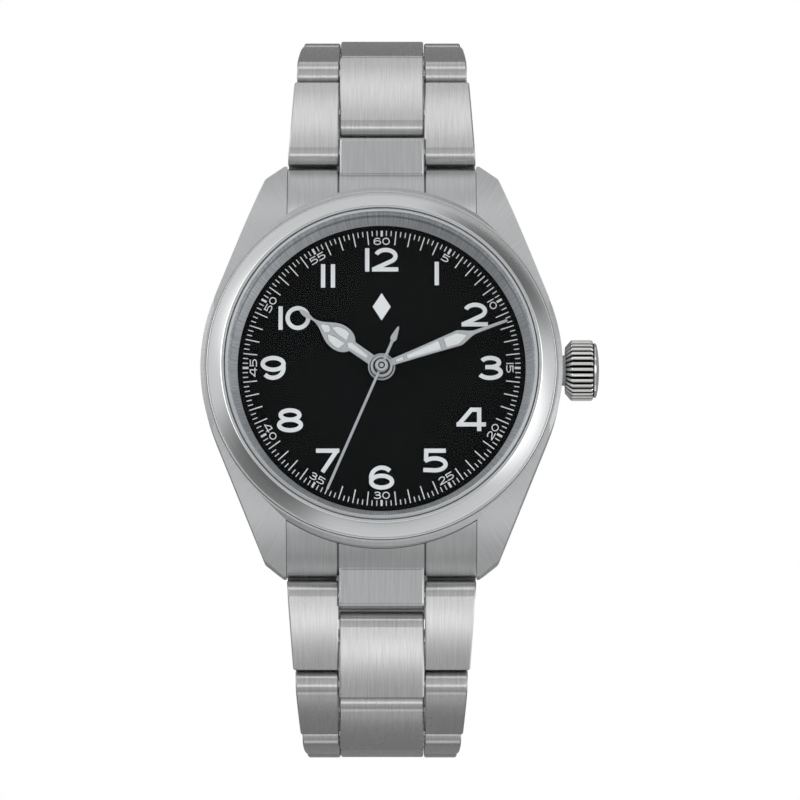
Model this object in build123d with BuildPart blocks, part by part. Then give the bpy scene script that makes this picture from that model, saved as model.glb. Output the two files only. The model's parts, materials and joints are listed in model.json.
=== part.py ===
from build123d import *
from math import acos, asin, atan2, cos, degrees, hypot, radians, sin, sqrt
import os

# Field watch on a three-row steel bracelet, closed, in millimetres.
# +Z is the dial's normal, +Y points to 12 o'clock and +X to the crown.
# The origin is the centre of the case back's outer face.

os.makedirs("parts", exist_ok=True)

# Case: heights are measured from the case back's outer face
case_radius = 19.0
case_bottom = 1.2
case_top = 9.0
case_edge_chamfer = 0.4
case_wall = 3.0
glass_seat_wall = 2.55
dial_top = 7.2
fit = 0.05
overrun = 1.0
movement_bore_radius = case_radius - case_wall
glass_bore_radius = case_radius - glass_seat_wall

# Lugs
lug_overhang = 2.8
lug_inner_half = 10.0
lug_tip_width = 0.3
lug_corner_width = 2.3
lug_corner_setback = 1.6
lug_corner_round = 0.8
lug_slope_setback = 8.8
lug_slope_radius = 12.0
lug_slope_angle = 38.0
lug_tip_chamfer = 0.5
lug_tip_reach = case_radius + lug_overhang
lug_tip_half = lug_inner_half + lug_tip_width
lug_corner_half = lug_inner_half + lug_corner_width
lug_corner_reach = lug_tip_reach - lug_corner_setback
lug_slope_start = lug_tip_reach - lug_slope_setback

# Bezel, glass and flange ring
bezel_inset = 0.66
bezel_wall = 0.35
bezel_top_width = 0.3
bezel_height = 1.95
gasket_width = 0.15
glass_lift = 0.6
glass_thickness = 1.6
glass_chamfer = 0.48
gasket_height = 1.1
flange_low_width = 1.26
flange_high_width = 0.51
bezel_radius = case_radius - bezel_inset
bezel_inner_radius = glass_bore_radius + fit
glass_radius = bezel_inner_radius - gasket_width
glass_bottom = case_top + glass_lift
flange_outer_radius = glass_bore_radius - fit
flange_low_radius = flange_outer_radius - flange_low_width
flange_high_radius = flange_outer_radius - flange_high_width

# Dial and hands
dial_thickness = 0.4
dial_radius = movement_bore_radius - 2 * fit
hand_thickness = 0.2
hour_hand_lift = 0.7
hand_level_step = 0.6
seconds_hand_step = 0.5
seconds_hub_height = 0.4
hour_hub_radius = 1.42
minute_hub_radius = 1.17
seconds_hub_radius = 0.69
seconds_arbor_radius = 0.25
minute_tube_wall = 0.27
hour_tube_wall = 0.23
arbor_depth = 2.2
tube_step = 0.2
hour_hand_angle = -305.0
minute_hand_angle = -69.8
seconds_hand_angle = -203.5
hour_hand_share = 2 / 3
hour_hand_half = 1.36
minute_hand_gap = 1.04
minute_hand_half = 0.82
seconds_hand_gap = 0.94
seconds_hand_half = 0.13
seconds_tail_length = 4.5
seconds_tail_half = 0.36
hour_hand_level = dial_top + hour_hand_lift
minute_hand_level = hour_hand_level + hand_level_step
seconds_hand_level = minute_hand_level + seconds_hand_step
arbor_floor = dial_top - arbor_depth
hour_hand_length = dial_radius * hour_hand_share
minute_hand_length = flange_low_radius - minute_hand_gap
seconds_hand_length = flange_low_radius - seconds_hand_gap

# Outlines of the hands: shares of the length, then shares of the half width
hour_outline_shares = [
    (0.0, 0.397),
    (0.355, 0.41),
    (0.40, 0.78),
    (0.50, 1.00),
    (0.60, 0.86),
    (0.70, 0.42),
    (0.78, 0.14),
    (0.845, 0.09),
    (0.90, 0.20),
    (0.955, 0.17),
]
minute_outline_shares = [
    (0.0, 0.333),
    (0.30, 0.62),
    (0.615, 1.00),
    (0.66, 0.72),
    (0.71, 0.36),
    (0.76, 0.22),
    (0.99, 0.17),
]
tail_outline_shares = [
    (0.0, 0.40),
    (0.62, 0.40),
    (0.68, 1.00),
    (0.80, 0.75),
    (0.97, 0.28),
]
# Openings that hold the luminous filling, as shares of the same sizes
hour_arm_window_shares = [(0.17, 0.12), (0.17, -0.12), (0.39, -0.26), (0.42, 0.0), (0.39, 0.26)]
hour_cell_shares = [
    (0.43, 0.12),
    (0.45, 0.72),
    (0.51, 0.82),
    (0.59, 0.64),
    (0.63, 0.30),
    (0.55, 0.12),
]
hour_tip_window_shares = [
    (0.62, 0.10),
    (0.665, 0.36),
    (0.735, 0.10),
    (0.735, -0.10),
    (0.665, -0.36),
    (0.62, -0.10),
]
minute_window_shares = [
    [(0.11, 0.18), (0.11, -0.18), (0.175, -0.24), (0.175, 0.24)],
    [(0.20, 0.24), (0.20, -0.24), (0.465, -0.58), (0.465, 0.58)],
    [(0.50, 0.62), (0.50, -0.62), (0.605, -0.76), (0.68, 0.0), (0.605, 0.76)],
]

# Crown and stem
crown_axis_height = 5.2
crown_radius = 3.2
crown_gap = 0.3
crown_length = 3.6
crown_cap_length = 0.66
crown_cap_inset = 0.35
crown_inner_chamfer = 0.6
crown_flutes = 32
crown_flute_radius = 0.24
crown_recess_radius = 2.0
crown_recess_depth = 1.8
crown_pull = 1.2
tube_radius = 1.6
tube_bore_radius = 1.0
tube_depth = 2.4
tube_reach = 1.3
stem_radius = 0.5
stem_depth = 11.0
stem_engagement = 2.6
tube_inner_end = case_radius - tube_depth
stem_start = case_radius - stem_depth

# Case back and movement
back_inset = 1.6
back_boss_rise = 0.7
back_edge_chamfer = 0.3
back_notches = 6
back_notch_width = 2.0
back_notch_depth = 0.9
back_notch_height = 0.7
back_gasket_step = 0.3
back_gasket_width = 0.5
back_gasket_height = 0.3
holder_width = 2.9
plate_thickness = 2.5
bridge_inset = 0.5
bridge_thickness = 1.0
rotor_inset = 0.4
rotor_rim_width = 2.6
rotor_hub_radius = 2.4
rotor_gap = 0.3
rotor_thickness = 0.8
rotor_arm_half = 1.6
rotor_post_radius = 1.0
rotor_screw_radius = 1.6
rotor_screw_height = 0.15
balance_size_share = 0.3175
balance_rim = 0.5
balance_place_shares = (-0.508, -0.4125)
balance_depth = 0.75
balance_thickness = 0.35
balance_staff_radius = 0.3
balance_staff_height = 0.9
jewel_radius = 0.6
jewel_circle_share = 0.6825
back_radius = case_radius - back_inset
back_boss_radius = movement_bore_radius - 2 * fit
back_boss_top = case_bottom + back_boss_rise
back_gasket_radius = movement_bore_radius + back_gasket_step
holder_inner_radius = movement_bore_radius - holder_width
plate_top = dial_top - dial_thickness
plate_bottom = plate_top - plate_thickness
bridge_radius = holder_inner_radius - bridge_inset
rotor_radius = bridge_radius - rotor_inset
rotor_bottom = back_boss_top + rotor_gap
balance_radius = bridge_radius * balance_size_share
balance_place = (
    bridge_radius * balance_place_shares[0],
    bridge_radius * balance_place_shares[1],
)
balance_bottom = plate_bottom - balance_depth
jewel_circle_radius = bridge_radius * jewel_circle_share

# End links
end_link_top_drop = 0.25
end_link_curve_radius = 14.0
end_link_nose_radius = 1.5
end_link_nose_height = 3.7
end_link_groove_depth = 0.25
end_link_groove_width = 0.25
spring_bar_radius = 0.7
spring_bar_tip_radius = 0.4
spring_bar_tip = 0.8
end_link_nose_reach = lug_tip_reach - end_link_nose_radius

# Bracelet links: u runs along a link from its near pin to its far pin
pitch = 9.5
link_end_radius = 1.55
link_crown = 0.22
tongue_square = 1.3
link_gap = 0.2
row_gap = 0.1
centre_half = 4.45
end_half = 8.0
link_bevel = 0.14
pin_radius = 0.5
pin_clearance = 0.04
pin_inset = 0.35
fixing_pin_share = 0.505
end_link_gap = 0.25
first_pin_drop = 0.1
taper_shares = (0.0, 0.45, 0.76, 0.96, 1.0, 1.0, 1.0, 1.0)
twelve_link_angles = (18.0, 68.0, 84.0, 94.0, 103.0, 118.0, 144.0)
six_link_angles = (18.0, 62.0, 88.0, 95.0, 104.0, 118.0)
fixing_pin_place = pitch * fixing_pin_share
side_end = pitch - link_end_radius - link_gap
first_pin_reach = end_link_nose_reach + end_link_nose_radius + link_end_radius + end_link_gap
first_pin_height = end_link_nose_height - first_pin_drop

# Fold-over clasp: levels are measured outwards from the line through its two end pins
blade_inset = 0.55
blade_thickness = 0.8
inner_blade_rise = 0.75
outer_blade_level = 0.35
knuckle_radius = 1.2
knuckle_half = 2.0
knuckle_gap = 0.1
knuckle_clear = 0.2
fold_pin_setback = 9.0
fold_pin_rise = 0.5
cover_pin_setback = 3.6
cover_pin_level = 0.9
cover_side_gap = 0.2
cover_wall = 0.8
cover_plate_level = 2.3
cover_thickness = 0.9
cover_wall_rise = 0.9
cover_edge_fillet = 0.6
cover_end_overhang = 1.5
cover_plate_notch = 1.9
adjust_holes = 3
adjust_hole_step = 2.4
ear_thickness = 1.0
ear_radius = 1.4
ear_root = 3.2
wing_inset = 1.0
wing_width = 4.0
button_setback = 14.0
button_level = 0.6
button_width = 4.6
button_height = 1.7
button_proud = 0.9
button_flange = 0.45
button_flange_thickness = 0.5
blade_half = centre_half - blade_inset
cover_inner_half = end_half + cover_side_gap
wing_half = end_half - wing_inset


def save(piece, label):
    """Label a finished sub-part and write it to its own file."""
    piece.part.label = label
    export_step(piece.part, f"parts/{label}.step")


def ring(outer, inner, low, high):
    """Sketch face of a ring's section between two radii and two heights, for a revolve about Z."""
    with BuildSketch(Plane.XZ) as section:
        with Locations(((outer + inner) / 2, (low + high) / 2)):
            Rectangle(outer - inner, high - low)
    return section.sketch


def rounded_outline(shares, length, half):
    """Closed outline along +Y from shares of a length and of a half width, mirrored left to right."""
    right = [(half * width, length * along) for along, width in shares]
    left = [(-x, y) for x, y in reversed(right)]
    return right, left


# Case middle with its four lugs
corner_distance = hypot(lug_corner_half, lug_corner_reach)
tangent_angle = atan2(lug_corner_reach, lug_corner_half) - acos(case_radius / corner_distance)
tangent_point = (case_radius * cos(tangent_angle), case_radius * sin(tangent_angle))
slope = radians(lug_slope_angle)
slope_end = lug_slope_start + lug_slope_radius * sin(slope)
slope_end_height = case_top - lug_slope_radius * (1 - cos(slope))
tip_height = slope_end_height - (lug_tip_reach - slope_end) * sin(slope) / cos(slope)

with BuildPart() as case_middle:
    with BuildSketch(Plane.XY.offset(case_bottom)):
        with BuildLine():
            Polyline(
                (lug_inner_half, 0),
                (lug_inner_half, lug_tip_reach),
                (lug_tip_half, lug_tip_reach),
                (lug_corner_half, lug_corner_reach),
                tangent_point,
                (tangent_point[0], 0),
                close=True,
            )
        make_face()
        mirror(about=Plane.YZ)
        mirror(about=Plane.XZ)
    extrude(amount=case_top - case_bottom)
    corner_edges = case_middle.edges().filter_by(Axis.Z).filter_by(
        lambda e: abs(abs(e.center().X) - lug_corner_half) < lug_corner_round / 10
    )
    fillet(corner_edges, lug_corner_round)
    with BuildSketch(Plane.YZ):
        with BuildLine():
            top = Line((0, case_top), (lug_slope_start, case_top))
            bend = JernArc(top @ 1, (1, 0), lug_slope_radius, -lug_slope_angle)
            Line(bend @ 1, (lug_tip_reach, tip_height))
            Line((lug_tip_reach, tip_height), (lug_tip_reach, case_bottom + lug_tip_chamfer))
            Line(
                (lug_tip_reach, case_bottom + lug_tip_chamfer),
                (lug_tip_reach - lug_tip_chamfer, case_bottom),
            )
            Line((lug_tip_reach - lug_tip_chamfer, case_bottom), (0, case_bottom))
            Line((0, case_bottom), (0, case_top))
        make_face()
        mirror(about=Plane.YZ)
    extrude(amount=case_radius + overrun, both=True, mode=Mode.INTERSECT)
    with BuildSketch(Plane.XZ):
        with BuildLine():
            Polyline(
                (0, case_bottom),
                (case_radius - case_edge_chamfer, case_bottom),
                (case_radius, case_bottom + case_edge_chamfer),
                (case_radius, case_top - case_edge_chamfer),
                (case_radius - case_edge_chamfer, case_top),
                (0, case_top),
                close=True,
            )
        make_face()
    revolve(axis=Axis.Z)
    with BuildSketch(Plane.XY.offset(case_bottom)):
        Circle(movement_bore_radius)
    extrude(amount=case_top - case_bottom, mode=Mode.SUBTRACT)
    with BuildSketch(Plane.XY.offset(dial_top)):
        Circle(glass_bore_radius)
    extrude(amount=case_top - dial_top, mode=Mode.SUBTRACT)
    with BuildSketch(Plane.YZ.offset(movement_bore_radius - overrun)):
        with Locations((0, crown_axis_height)):
            Circle(tube_radius + fit)
    extrude(amount=case_radius, mode=Mode.SUBTRACT)
    with BuildSketch(Plane.YZ):
        with Locations(
            (end_link_nose_reach, end_link_nose_height),
            (-end_link_nose_reach, end_link_nose_height),
        ):
            Circle(spring_bar_tip_radius + fit)
    extrude(amount=lug_inner_half + spring_bar_tip + fit, both=True, mode=Mode.SUBTRACT)
save(case_middle, "case_middle")

# Bezel, glass, gasket and flange ring
bezel_top = case_top + bezel_height
with BuildPart() as bezel:
    with BuildSketch(Plane.XZ):
        with BuildLine():
            Polyline(
                (bezel_inner_radius, case_top),
                (bezel_radius, case_top),
                (bezel_radius, case_top + bezel_wall),
                (bezel_inner_radius + bezel_top_width, bezel_top),
                (bezel_inner_radius, bezel_top),
                close=True,
            )
        make_face()
    revolve(axis=Axis.Z)
save(bezel, "bezel")

with BuildPart() as crystal:
    with BuildSketch(Plane.XY.offset(glass_bottom)):
        Circle(glass_radius)
    extrude(amount=glass_thickness)
    chamfer(crystal.edges().sort_by(Axis.Z)[-1], glass_chamfer)
save(crystal, "crystal")

with BuildPart() as crystal_gasket:
    add(ring(bezel_inner_radius, glass_radius, glass_bottom, glass_bottom + gasket_height))
    revolve(axis=Axis.Z)
save(crystal_gasket, "crystal_gasket")

with BuildPart() as rehaut_ring:
    with BuildSketch(Plane.XZ):
        with BuildLine():
            Polyline(
                (flange_low_radius, dial_top),
                (flange_outer_radius, dial_top),
                (flange_outer_radius, glass_bottom),
                (flange_high_radius, glass_bottom),
                close=True,
            )
        make_face()
    revolve(axis=Axis.Z)
save(rehaut_ring, "rehaut_ring")

# Dial with the hole for the hand tubes
minute_tube_bore = seconds_arbor_radius + fit
minute_tube_radius = minute_tube_bore + minute_tube_wall
hour_tube_bore = minute_tube_radius + fit
hour_tube_radius = hour_tube_bore + hour_tube_wall
centre_hole_radius = hour_tube_radius + fit

with BuildPart() as dial:
    with BuildSketch(Plane.XY.offset(dial_top - dial_thickness)):
        Circle(dial_radius)
        Circle(centre_hole_radius, mode=Mode.SUBTRACT)
    extrude(amount=dial_thickness)
save(dial, "dial")


# Hands: outlines run along +Y and are turned to the time shown
def window(shares, length, half):
    """Polygon of a lume opening from its shares."""
    Polygon(*[(half * width, length * along) for along, width in shares], align=None)


def hour_windows(mode):
    """The hour hand's four lume openings."""
    with BuildSketch(hour_plane, mode=Mode.PRIVATE) as cells:
        window(hour_arm_window_shares, hour_hand_length, hour_hand_half)
        window(hour_cell_shares, hour_hand_length, hour_hand_half)
        mirror(about=Plane.YZ)
        window(hour_tip_window_shares, hour_hand_length, hour_hand_half)
    extrude(cells.sketch, amount=hand_thickness, mode=mode)


def minute_windows(mode):
    """The minute hand's three lume openings."""
    with BuildSketch(minute_plane, mode=Mode.PRIVATE) as cells:
        for shares in minute_window_shares:
            window(shares, minute_hand_length, minute_hand_half)
    extrude(cells.sketch, amount=hand_thickness, mode=mode)


def hand_plane(level, turn):
    """Plane at a hand's level whose Y axis points along the hand."""
    return Plane.XY.offset(level).rotated((0, 0, turn))


hour_plane = hand_plane(hour_hand_level, hour_hand_angle)
minute_plane = hand_plane(minute_hand_level, minute_hand_angle)
seconds_plane = hand_plane(seconds_hand_level, seconds_hand_angle)

with BuildPart() as hour_hand:
    with BuildSketch(hour_plane):
        right, left = rounded_outline(hour_outline_shares, hour_hand_length, hour_hand_half)
        with BuildLine():
            Spline(*right[1:], (0, hour_hand_length))
            Spline((0, hour_hand_length), *left[:-1])
            Line(left[-2], left[-1])
            Line(left[-1], right[0])
            Line(right[0], right[1])
        make_face()
        Circle(hour_hub_radius)
    extrude(amount=hand_thickness)
    hour_windows(Mode.SUBTRACT)
    with BuildSketch(Plane.XY.offset(arbor_floor + 2 * tube_step)):
        Circle(hour_tube_radius)
    extrude(amount=hour_hand_level - arbor_floor - 2 * tube_step)
    with BuildSketch(Plane.XY.offset(arbor_floor)):
        Circle(hour_tube_bore)
    extrude(amount=case_top - arbor_floor, mode=Mode.SUBTRACT)
save(hour_hand, "hour_hand")

with BuildPart() as hour_lume:
    hour_windows(Mode.ADD)
save(hour_lume, "hour_lume")

with BuildPart() as minute_hand:
    with BuildSketch(minute_plane):
        right, left = rounded_outline(minute_outline_shares, minute_hand_length, minute_hand_half)
        with BuildLine():
            Polyline(right[0], right[1], right[2])
            Spline(*right[2:6])
            Polyline(right[5], right[6], (0, minute_hand_length), left[0], left[1])
            Spline(*left[1:5])
            Polyline(left[4], left[5], left[6], right[0])
        make_face()
        Circle(minute_hub_radius)
    extrude(amount=hand_thickness)
    minute_windows(Mode.SUBTRACT)
    with BuildSketch(Plane.XY.offset(arbor_floor + tube_step)):
        Circle(minute_tube_radius)
    extrude(amount=minute_hand_level - arbor_floor - tube_step)
    with BuildSketch(Plane.XY.offset(arbor_floor)):
        Circle(minute_tube_bore)
    extrude(amount=case_top - arbor_floor, mode=Mode.SUBTRACT)
save(minute_hand, "minute_hand")

with BuildPart() as minute_lume:
    minute_windows(Mode.ADD)
save(minute_lume, "minute_lume")

with BuildPart() as seconds_hand:
    with BuildSketch(Plane.XY.offset(seconds_hand_level)):
        Circle(seconds_hub_radius)
    extrude(amount=seconds_hub_height)
    chamfer(seconds_hand.edges().sort_by(Axis.Z)[-1], seconds_hub_height / 4)
    with BuildSketch(seconds_plane):
        with Locations((0, seconds_hand_length / 2)):
            Rectangle(2 * seconds_hand_half, seconds_hand_length)
        right, left = rounded_outline(tail_outline_shares, -seconds_tail_length, seconds_tail_half)
        Polygon(*right, (0, -seconds_tail_length), *left, align=None)
    extrude(amount=hand_thickness)
    with BuildSketch(Plane.XY.offset(arbor_floor)):
        Circle(seconds_arbor_radius)
    extrude(amount=seconds_hand_level - arbor_floor)
save(seconds_hand, "seconds_hand")

# Crown, its tube and the winding stem
crown_start = case_radius + crown_gap
crown_end = crown_start + crown_length
grip_end = crown_end - crown_cap_length
with BuildPart() as crown:
    with BuildSketch(Plane.XZ.shift_origin((0, 0, crown_axis_height))):
        with BuildLine():
            Polyline(
                (crown_start, 0),
                (crown_start, crown_radius - crown_inner_chamfer),
                (crown_start + crown_inner_chamfer, crown_radius),
                (grip_end, crown_radius),
                (grip_end, crown_radius - crown_cap_inset),
                (crown_end - crown_cap_inset, crown_radius - crown_cap_inset),
                (crown_end, crown_radius - 3 * crown_cap_inset),
                (crown_end, 0),
                close=True,
            )
        make_face()
    revolve(axis=Axis((0, 0, crown_axis_height), (1, 0, 0)))
    with BuildSketch(Plane.YZ.offset(crown_start)):
        with Locations((0, crown_axis_height)):
            with PolarLocations(crown_radius + crown_flute_radius / 3, crown_flutes):
                Circle(crown_flute_radius)
    extrude(amount=grip_end - crown_start, mode=Mode.SUBTRACT)
    with BuildSketch(Plane.YZ.offset(crown_start)):
        with Locations((0, crown_axis_height)):
            Circle(crown_recess_radius)
    extrude(amount=crown_recess_depth, mode=Mode.SUBTRACT)
    with BuildSketch(Plane.YZ.offset(crown_start)):
        with Locations((0, crown_axis_height)):
            Circle(stem_radius + fit)
    extrude(amount=stem_engagement + fit, mode=Mode.SUBTRACT)
save(crown, "crown")

with BuildPart() as crown_tube:
    with BuildSketch(Plane.YZ.offset(tube_inner_end)):
        with Locations((0, crown_axis_height)):
            Circle(tube_radius)
            Circle(tube_bore_radius, mode=Mode.SUBTRACT)
    extrude(amount=case_radius + tube_reach - tube_inner_end)
save(crown_tube, "crown_tube")

with BuildPart() as winding_stem:
    with BuildSketch(Plane.YZ.offset(stem_start)):
        with Locations((0, crown_axis_height)):
            Circle(stem_radius)
    extrude(amount=crown_start + stem_engagement - stem_start)
save(winding_stem, "winding_stem")

# Case back with opener notches, and its gasket
with BuildPart() as caseback:
    with BuildSketch():
        Circle(back_radius)
    extrude(amount=case_bottom)
    chamfer(caseback.edges().sort_by(Axis.Z)[0], back_edge_chamfer)
    with BuildSketch(Plane.XY.offset(case_bottom)):
        Circle(back_boss_radius)
    extrude(amount=back_boss_top - case_bottom)
    with BuildSketch():
        with PolarLocations(back_radius, back_notches):
            Rectangle(2 * back_notch_depth, back_notch_width)
    extrude(amount=back_notch_height, mode=Mode.SUBTRACT)
    add(
        ring(
            back_gasket_radius + back_gasket_width + fit,
            back_gasket_radius - fit,
            case_bottom - back_gasket_height,
            case_bottom,
        )
    )
    revolve(axis=Axis.Z, mode=Mode.SUBTRACT)
save(caseback, "caseback")

with BuildPart() as caseback_gasket:
    add(
        ring(
            back_gasket_radius + back_gasket_width,
            back_gasket_radius,
            case_bottom - back_gasket_height,
            case_bottom,
        )
    )
    revolve(axis=Axis.Z)
save(caseback_gasket, "caseback_gasket")

# Movement: holder ring, main plate, bridge, rotor and balance
with BuildPart() as movement_holder:
    add(ring(movement_bore_radius - fit, holder_inner_radius, back_boss_top, plate_top))
    revolve(axis=Axis.Z)
    with BuildSketch(Plane.YZ):
        with Locations((0, crown_axis_height)):
            Circle(stem_radius + 2 * fit)
    extrude(amount=movement_bore_radius, mode=Mode.SUBTRACT)
save(movement_holder, "movement_holder")

with BuildPart() as main_plate:
    with BuildSketch(Plane.XY.offset(plate_bottom)):
        Circle(holder_inner_radius - fit)
    extrude(amount=plate_top - plate_bottom)
    with BuildSketch(Plane.XY.offset(arbor_floor - fit)):
        Circle(centre_hole_radius)
    extrude(amount=plate_top - arbor_floor + fit, mode=Mode.SUBTRACT)
    with BuildSketch(Plane.YZ.offset(stem_start - crown_pull)):
        with Locations((0, crown_axis_height)):
            Circle(stem_radius + 2 * fit)
    extrude(amount=holder_inner_radius, mode=Mode.SUBTRACT)
    with BuildSketch(Plane.XY.offset(plate_bottom)):
        with Locations(balance_place):
            Circle(balance_staff_radius + fit)
    extrude(amount=balance_staff_height, mode=Mode.SUBTRACT)
save(main_plate, "main_plate")

bridge_bottom = plate_bottom - bridge_thickness
with BuildPart() as train_bridge:
    with BuildSketch(Plane.XY.offset(bridge_bottom)):
        Circle(bridge_radius)
        with Locations(balance_place):
            Circle(balance_radius + 4 * fit, mode=Mode.SUBTRACT)
        with PolarLocations(jewel_circle_radius, 3):
            Circle(jewel_radius, mode=Mode.SUBTRACT)
    extrude(amount=bridge_thickness)
    with BuildSketch(Plane.XY.offset(rotor_bottom - fit)):
        Circle(rotor_post_radius)
    extrude(amount=bridge_bottom - rotor_bottom + fit)
    with BuildSketch(Plane.XY.offset(rotor_bottom - fit - rotor_screw_height)):
        Circle(rotor_screw_radius)
    extrude(amount=rotor_screw_height)
save(train_bridge, "train_bridge")

with BuildPart() as rotor:
    with BuildSketch(Plane.XY.offset(rotor_bottom)):
        Circle(rotor_radius)
        Circle(rotor_radius - rotor_rim_width, mode=Mode.SUBTRACT)
        with Locations((0, rotor_radius / 2)):
            Rectangle(2 * rotor_radius, rotor_radius, mode=Mode.SUBTRACT)
        with Locations((0, -rotor_radius / 2)):
            Rectangle(2 * rotor_arm_half, rotor_radius - rotor_rim_width / 2)
        Circle(rotor_hub_radius)
        Circle(rotor_post_radius + fit, mode=Mode.SUBTRACT)
    extrude(amount=rotor_thickness)
save(rotor, "rotor")

with BuildPart() as balance_wheel:
    with BuildSketch(Plane.XY.offset(balance_bottom)):
        with Locations(balance_place):
            Circle(balance_radius)
            Circle(balance_radius - balance_rim, mode=Mode.SUBTRACT)
            Rectangle(2 * balance_radius - balance_rim, balance_rim)
    extrude(amount=balance_thickness)
    with BuildSketch(Plane.XY.offset(balance_bottom)):
        with Locations(balance_place):
            Circle(balance_staff_radius)
    extrude(amount=plate_bottom + balance_staff_height - fit - balance_bottom)
save(balance_wheel, "balance_wheel")

# End links: solid, with a centre tongue that takes the first hinge pin
end_link_half = lug_inner_half - fit
end_link_top = case_top - end_link_top_drop
nose_top = (
    end_link_nose_reach + end_link_nose_radius * sin(slope),
    end_link_nose_height + end_link_nose_radius * cos(slope),
)
nose_tip = (end_link_nose_reach + end_link_nose_radius, end_link_nose_height)
nose_low = (end_link_nose_reach, end_link_nose_height - end_link_nose_radius)
inner_start = (lug_slope_start, end_link_top)


def end_link_profile(plane, inset):
    """Side section of an end link without its tongue, drawn in by an inset."""
    with BuildSketch(plane) as profile:
        with BuildLine():
            RadiusArc(inner_start, nose_top, end_link_curve_radius)
            ThreePointArc(nose_top, nose_tip, nose_low)
            Line(nose_low, (lug_slope_start, nose_low[1]))
            Line((lug_slope_start, nose_low[1]), inner_start)
        make_face()
        if inset > 0:
            offset(amount=-inset, kind=Kind.INTERSECTION, mode=Mode.REPLACE)
    return profile.sketch


def make_end_link(label, side):
    """One end link; side is +1 at 12 o'clock and -1 at 6 o'clock."""
    frame = Plane(origin=(0, 0, 0), x_dir=(0, side, 0), z_dir=(side, 0, 0))
    strip_width = end_link_half - centre_half - end_link_groove_width
    with BuildPart() as end_link:
        extrude(end_link_profile(frame, end_link_groove_depth), amount=end_link_half, both=True)
        extrude(end_link_profile(frame, 0), amount=centre_half, both=True)
        for face in (1, -1):
            shifted = frame.offset(face * (end_link_half - strip_width))
            extrude(end_link_profile(shifted, 0), amount=face * strip_width)
        with BuildSketch(frame):
            with Locations((first_pin_reach, first_pin_height)):
                Circle(link_end_radius)
            with Locations((end_link_nose_reach, end_link_nose_height)):
                Circle(end_link_nose_radius)
            make_hull()
            with Locations(
                (first_pin_reach + tongue_square / 2, first_pin_height + link_end_radius / 2)
            ):
                Rectangle(tongue_square, link_end_radius)
        extrude(amount=centre_half, both=True)
        with BuildSketch():
            Circle(case_radius + fit)
        extrude(amount=case_top + overrun, mode=Mode.SUBTRACT)
        with BuildSketch(frame):
            with Locations((end_link_nose_reach, end_link_nose_height)):
                Circle(spring_bar_radius + fit)
            with Locations((first_pin_reach, first_pin_height)):
                Circle(pin_radius + pin_clearance)
        extrude(amount=end_link_half, both=True, mode=Mode.SUBTRACT)
    save(end_link, label)


make_end_link("end_link_12", 1)
make_end_link("end_link_6", -1)

with BuildPart() as spring_bars:
    with BuildSketch(Plane.YZ):
        with Locations(
            (end_link_nose_reach, end_link_nose_height),
            (-end_link_nose_reach, end_link_nose_height),
        ):
            Circle(spring_bar_radius)
    extrude(amount=end_link_half, both=True)
    with BuildSketch(Plane.YZ):
        with Locations(
            (end_link_nose_reach, end_link_nose_height),
            (-end_link_nose_reach, end_link_nose_height),
        ):
            Circle(spring_bar_tip_radius)
    extrude(amount=lug_inner_half + spring_bar_tip, both=True)
save(spring_bars, "spring_bars")


# Bracelet links, laid along a chain of pins
def chain(link_angles):
    """Pin places (distance from the dial's centre line, height) for links sloping by these angles."""
    places = [(first_pin_reach, first_pin_height)]
    for angle in link_angles:
        reach, height = places[-1]
        turn = radians(angle)
        places.append((reach + pitch * cos(turn), height - pitch * sin(turn)))
    return places


def link_plane(place, angle, side):
    """Plane through a pin, X along the link and Y out of its outer face."""
    turn = radians(angle)
    return Plane(
        origin=(0, side * place[0], place[1]),
        x_dir=(0, side * cos(turn), -sin(turn)),
        z_dir=(side, 0, 0),
    )


def row_half(index):
    """Half width of the bracelet at a pin."""
    return end_link_half - taper_shares[index] * (end_link_half - end_half)


def crown_points(start, end):
    """Start on the near round, middle and end of the arc that crowns a link's outer face."""
    half = (end - start) / 2
    lean = 2 * atan2(link_crown, half)
    radius = link_end_radius + half / sin(lean)
    drop = (radius - link_end_radius) * cos(lean)
    near = (start - link_end_radius * sin(lean), link_end_radius * cos(lean))
    middle = (start + half, link_end_radius + link_crown)
    far = (end, sqrt(radius * radius - half * half) - drop)
    return near, middle, far


def side_section(plane):
    """Section of a side piece: crowned, round about its near pin and cut square short of its far pin."""
    near, middle, far = crown_points(0, side_end - link_bevel)
    with BuildSketch(plane) as section:
        with BuildLine():
            ThreePointArc(near, middle, far)
            Polyline(
                far,
                (side_end, far[1] - link_bevel),
                (side_end, -link_end_radius),
                (0, -link_end_radius),
                (0, 0),
                near,
            )
        make_face()
        Circle(link_end_radius)
    return section.sketch


def centre_section(plane):
    """Section of a centre piece: crowned, with a round near end and a far tongue squared outside."""
    start = 2 * link_end_radius + link_gap
    tongue_end = pitch + tongue_square
    near, middle, far = crown_points(start, tongue_end - link_bevel)
    with BuildSketch(plane) as section:
        with BuildLine():
            ThreePointArc(near, middle, far)
            Polyline(
                far,
                (tongue_end, far[1] - link_bevel),
                (tongue_end, 0),
                (pitch, 0),
                (pitch, -link_end_radius),
                (start, -link_end_radius),
                (start, 0),
                near,
            )
        make_face()
        with Locations((start, 0), (pitch, 0)):
            Circle(link_end_radius)
    return section.sketch


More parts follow.
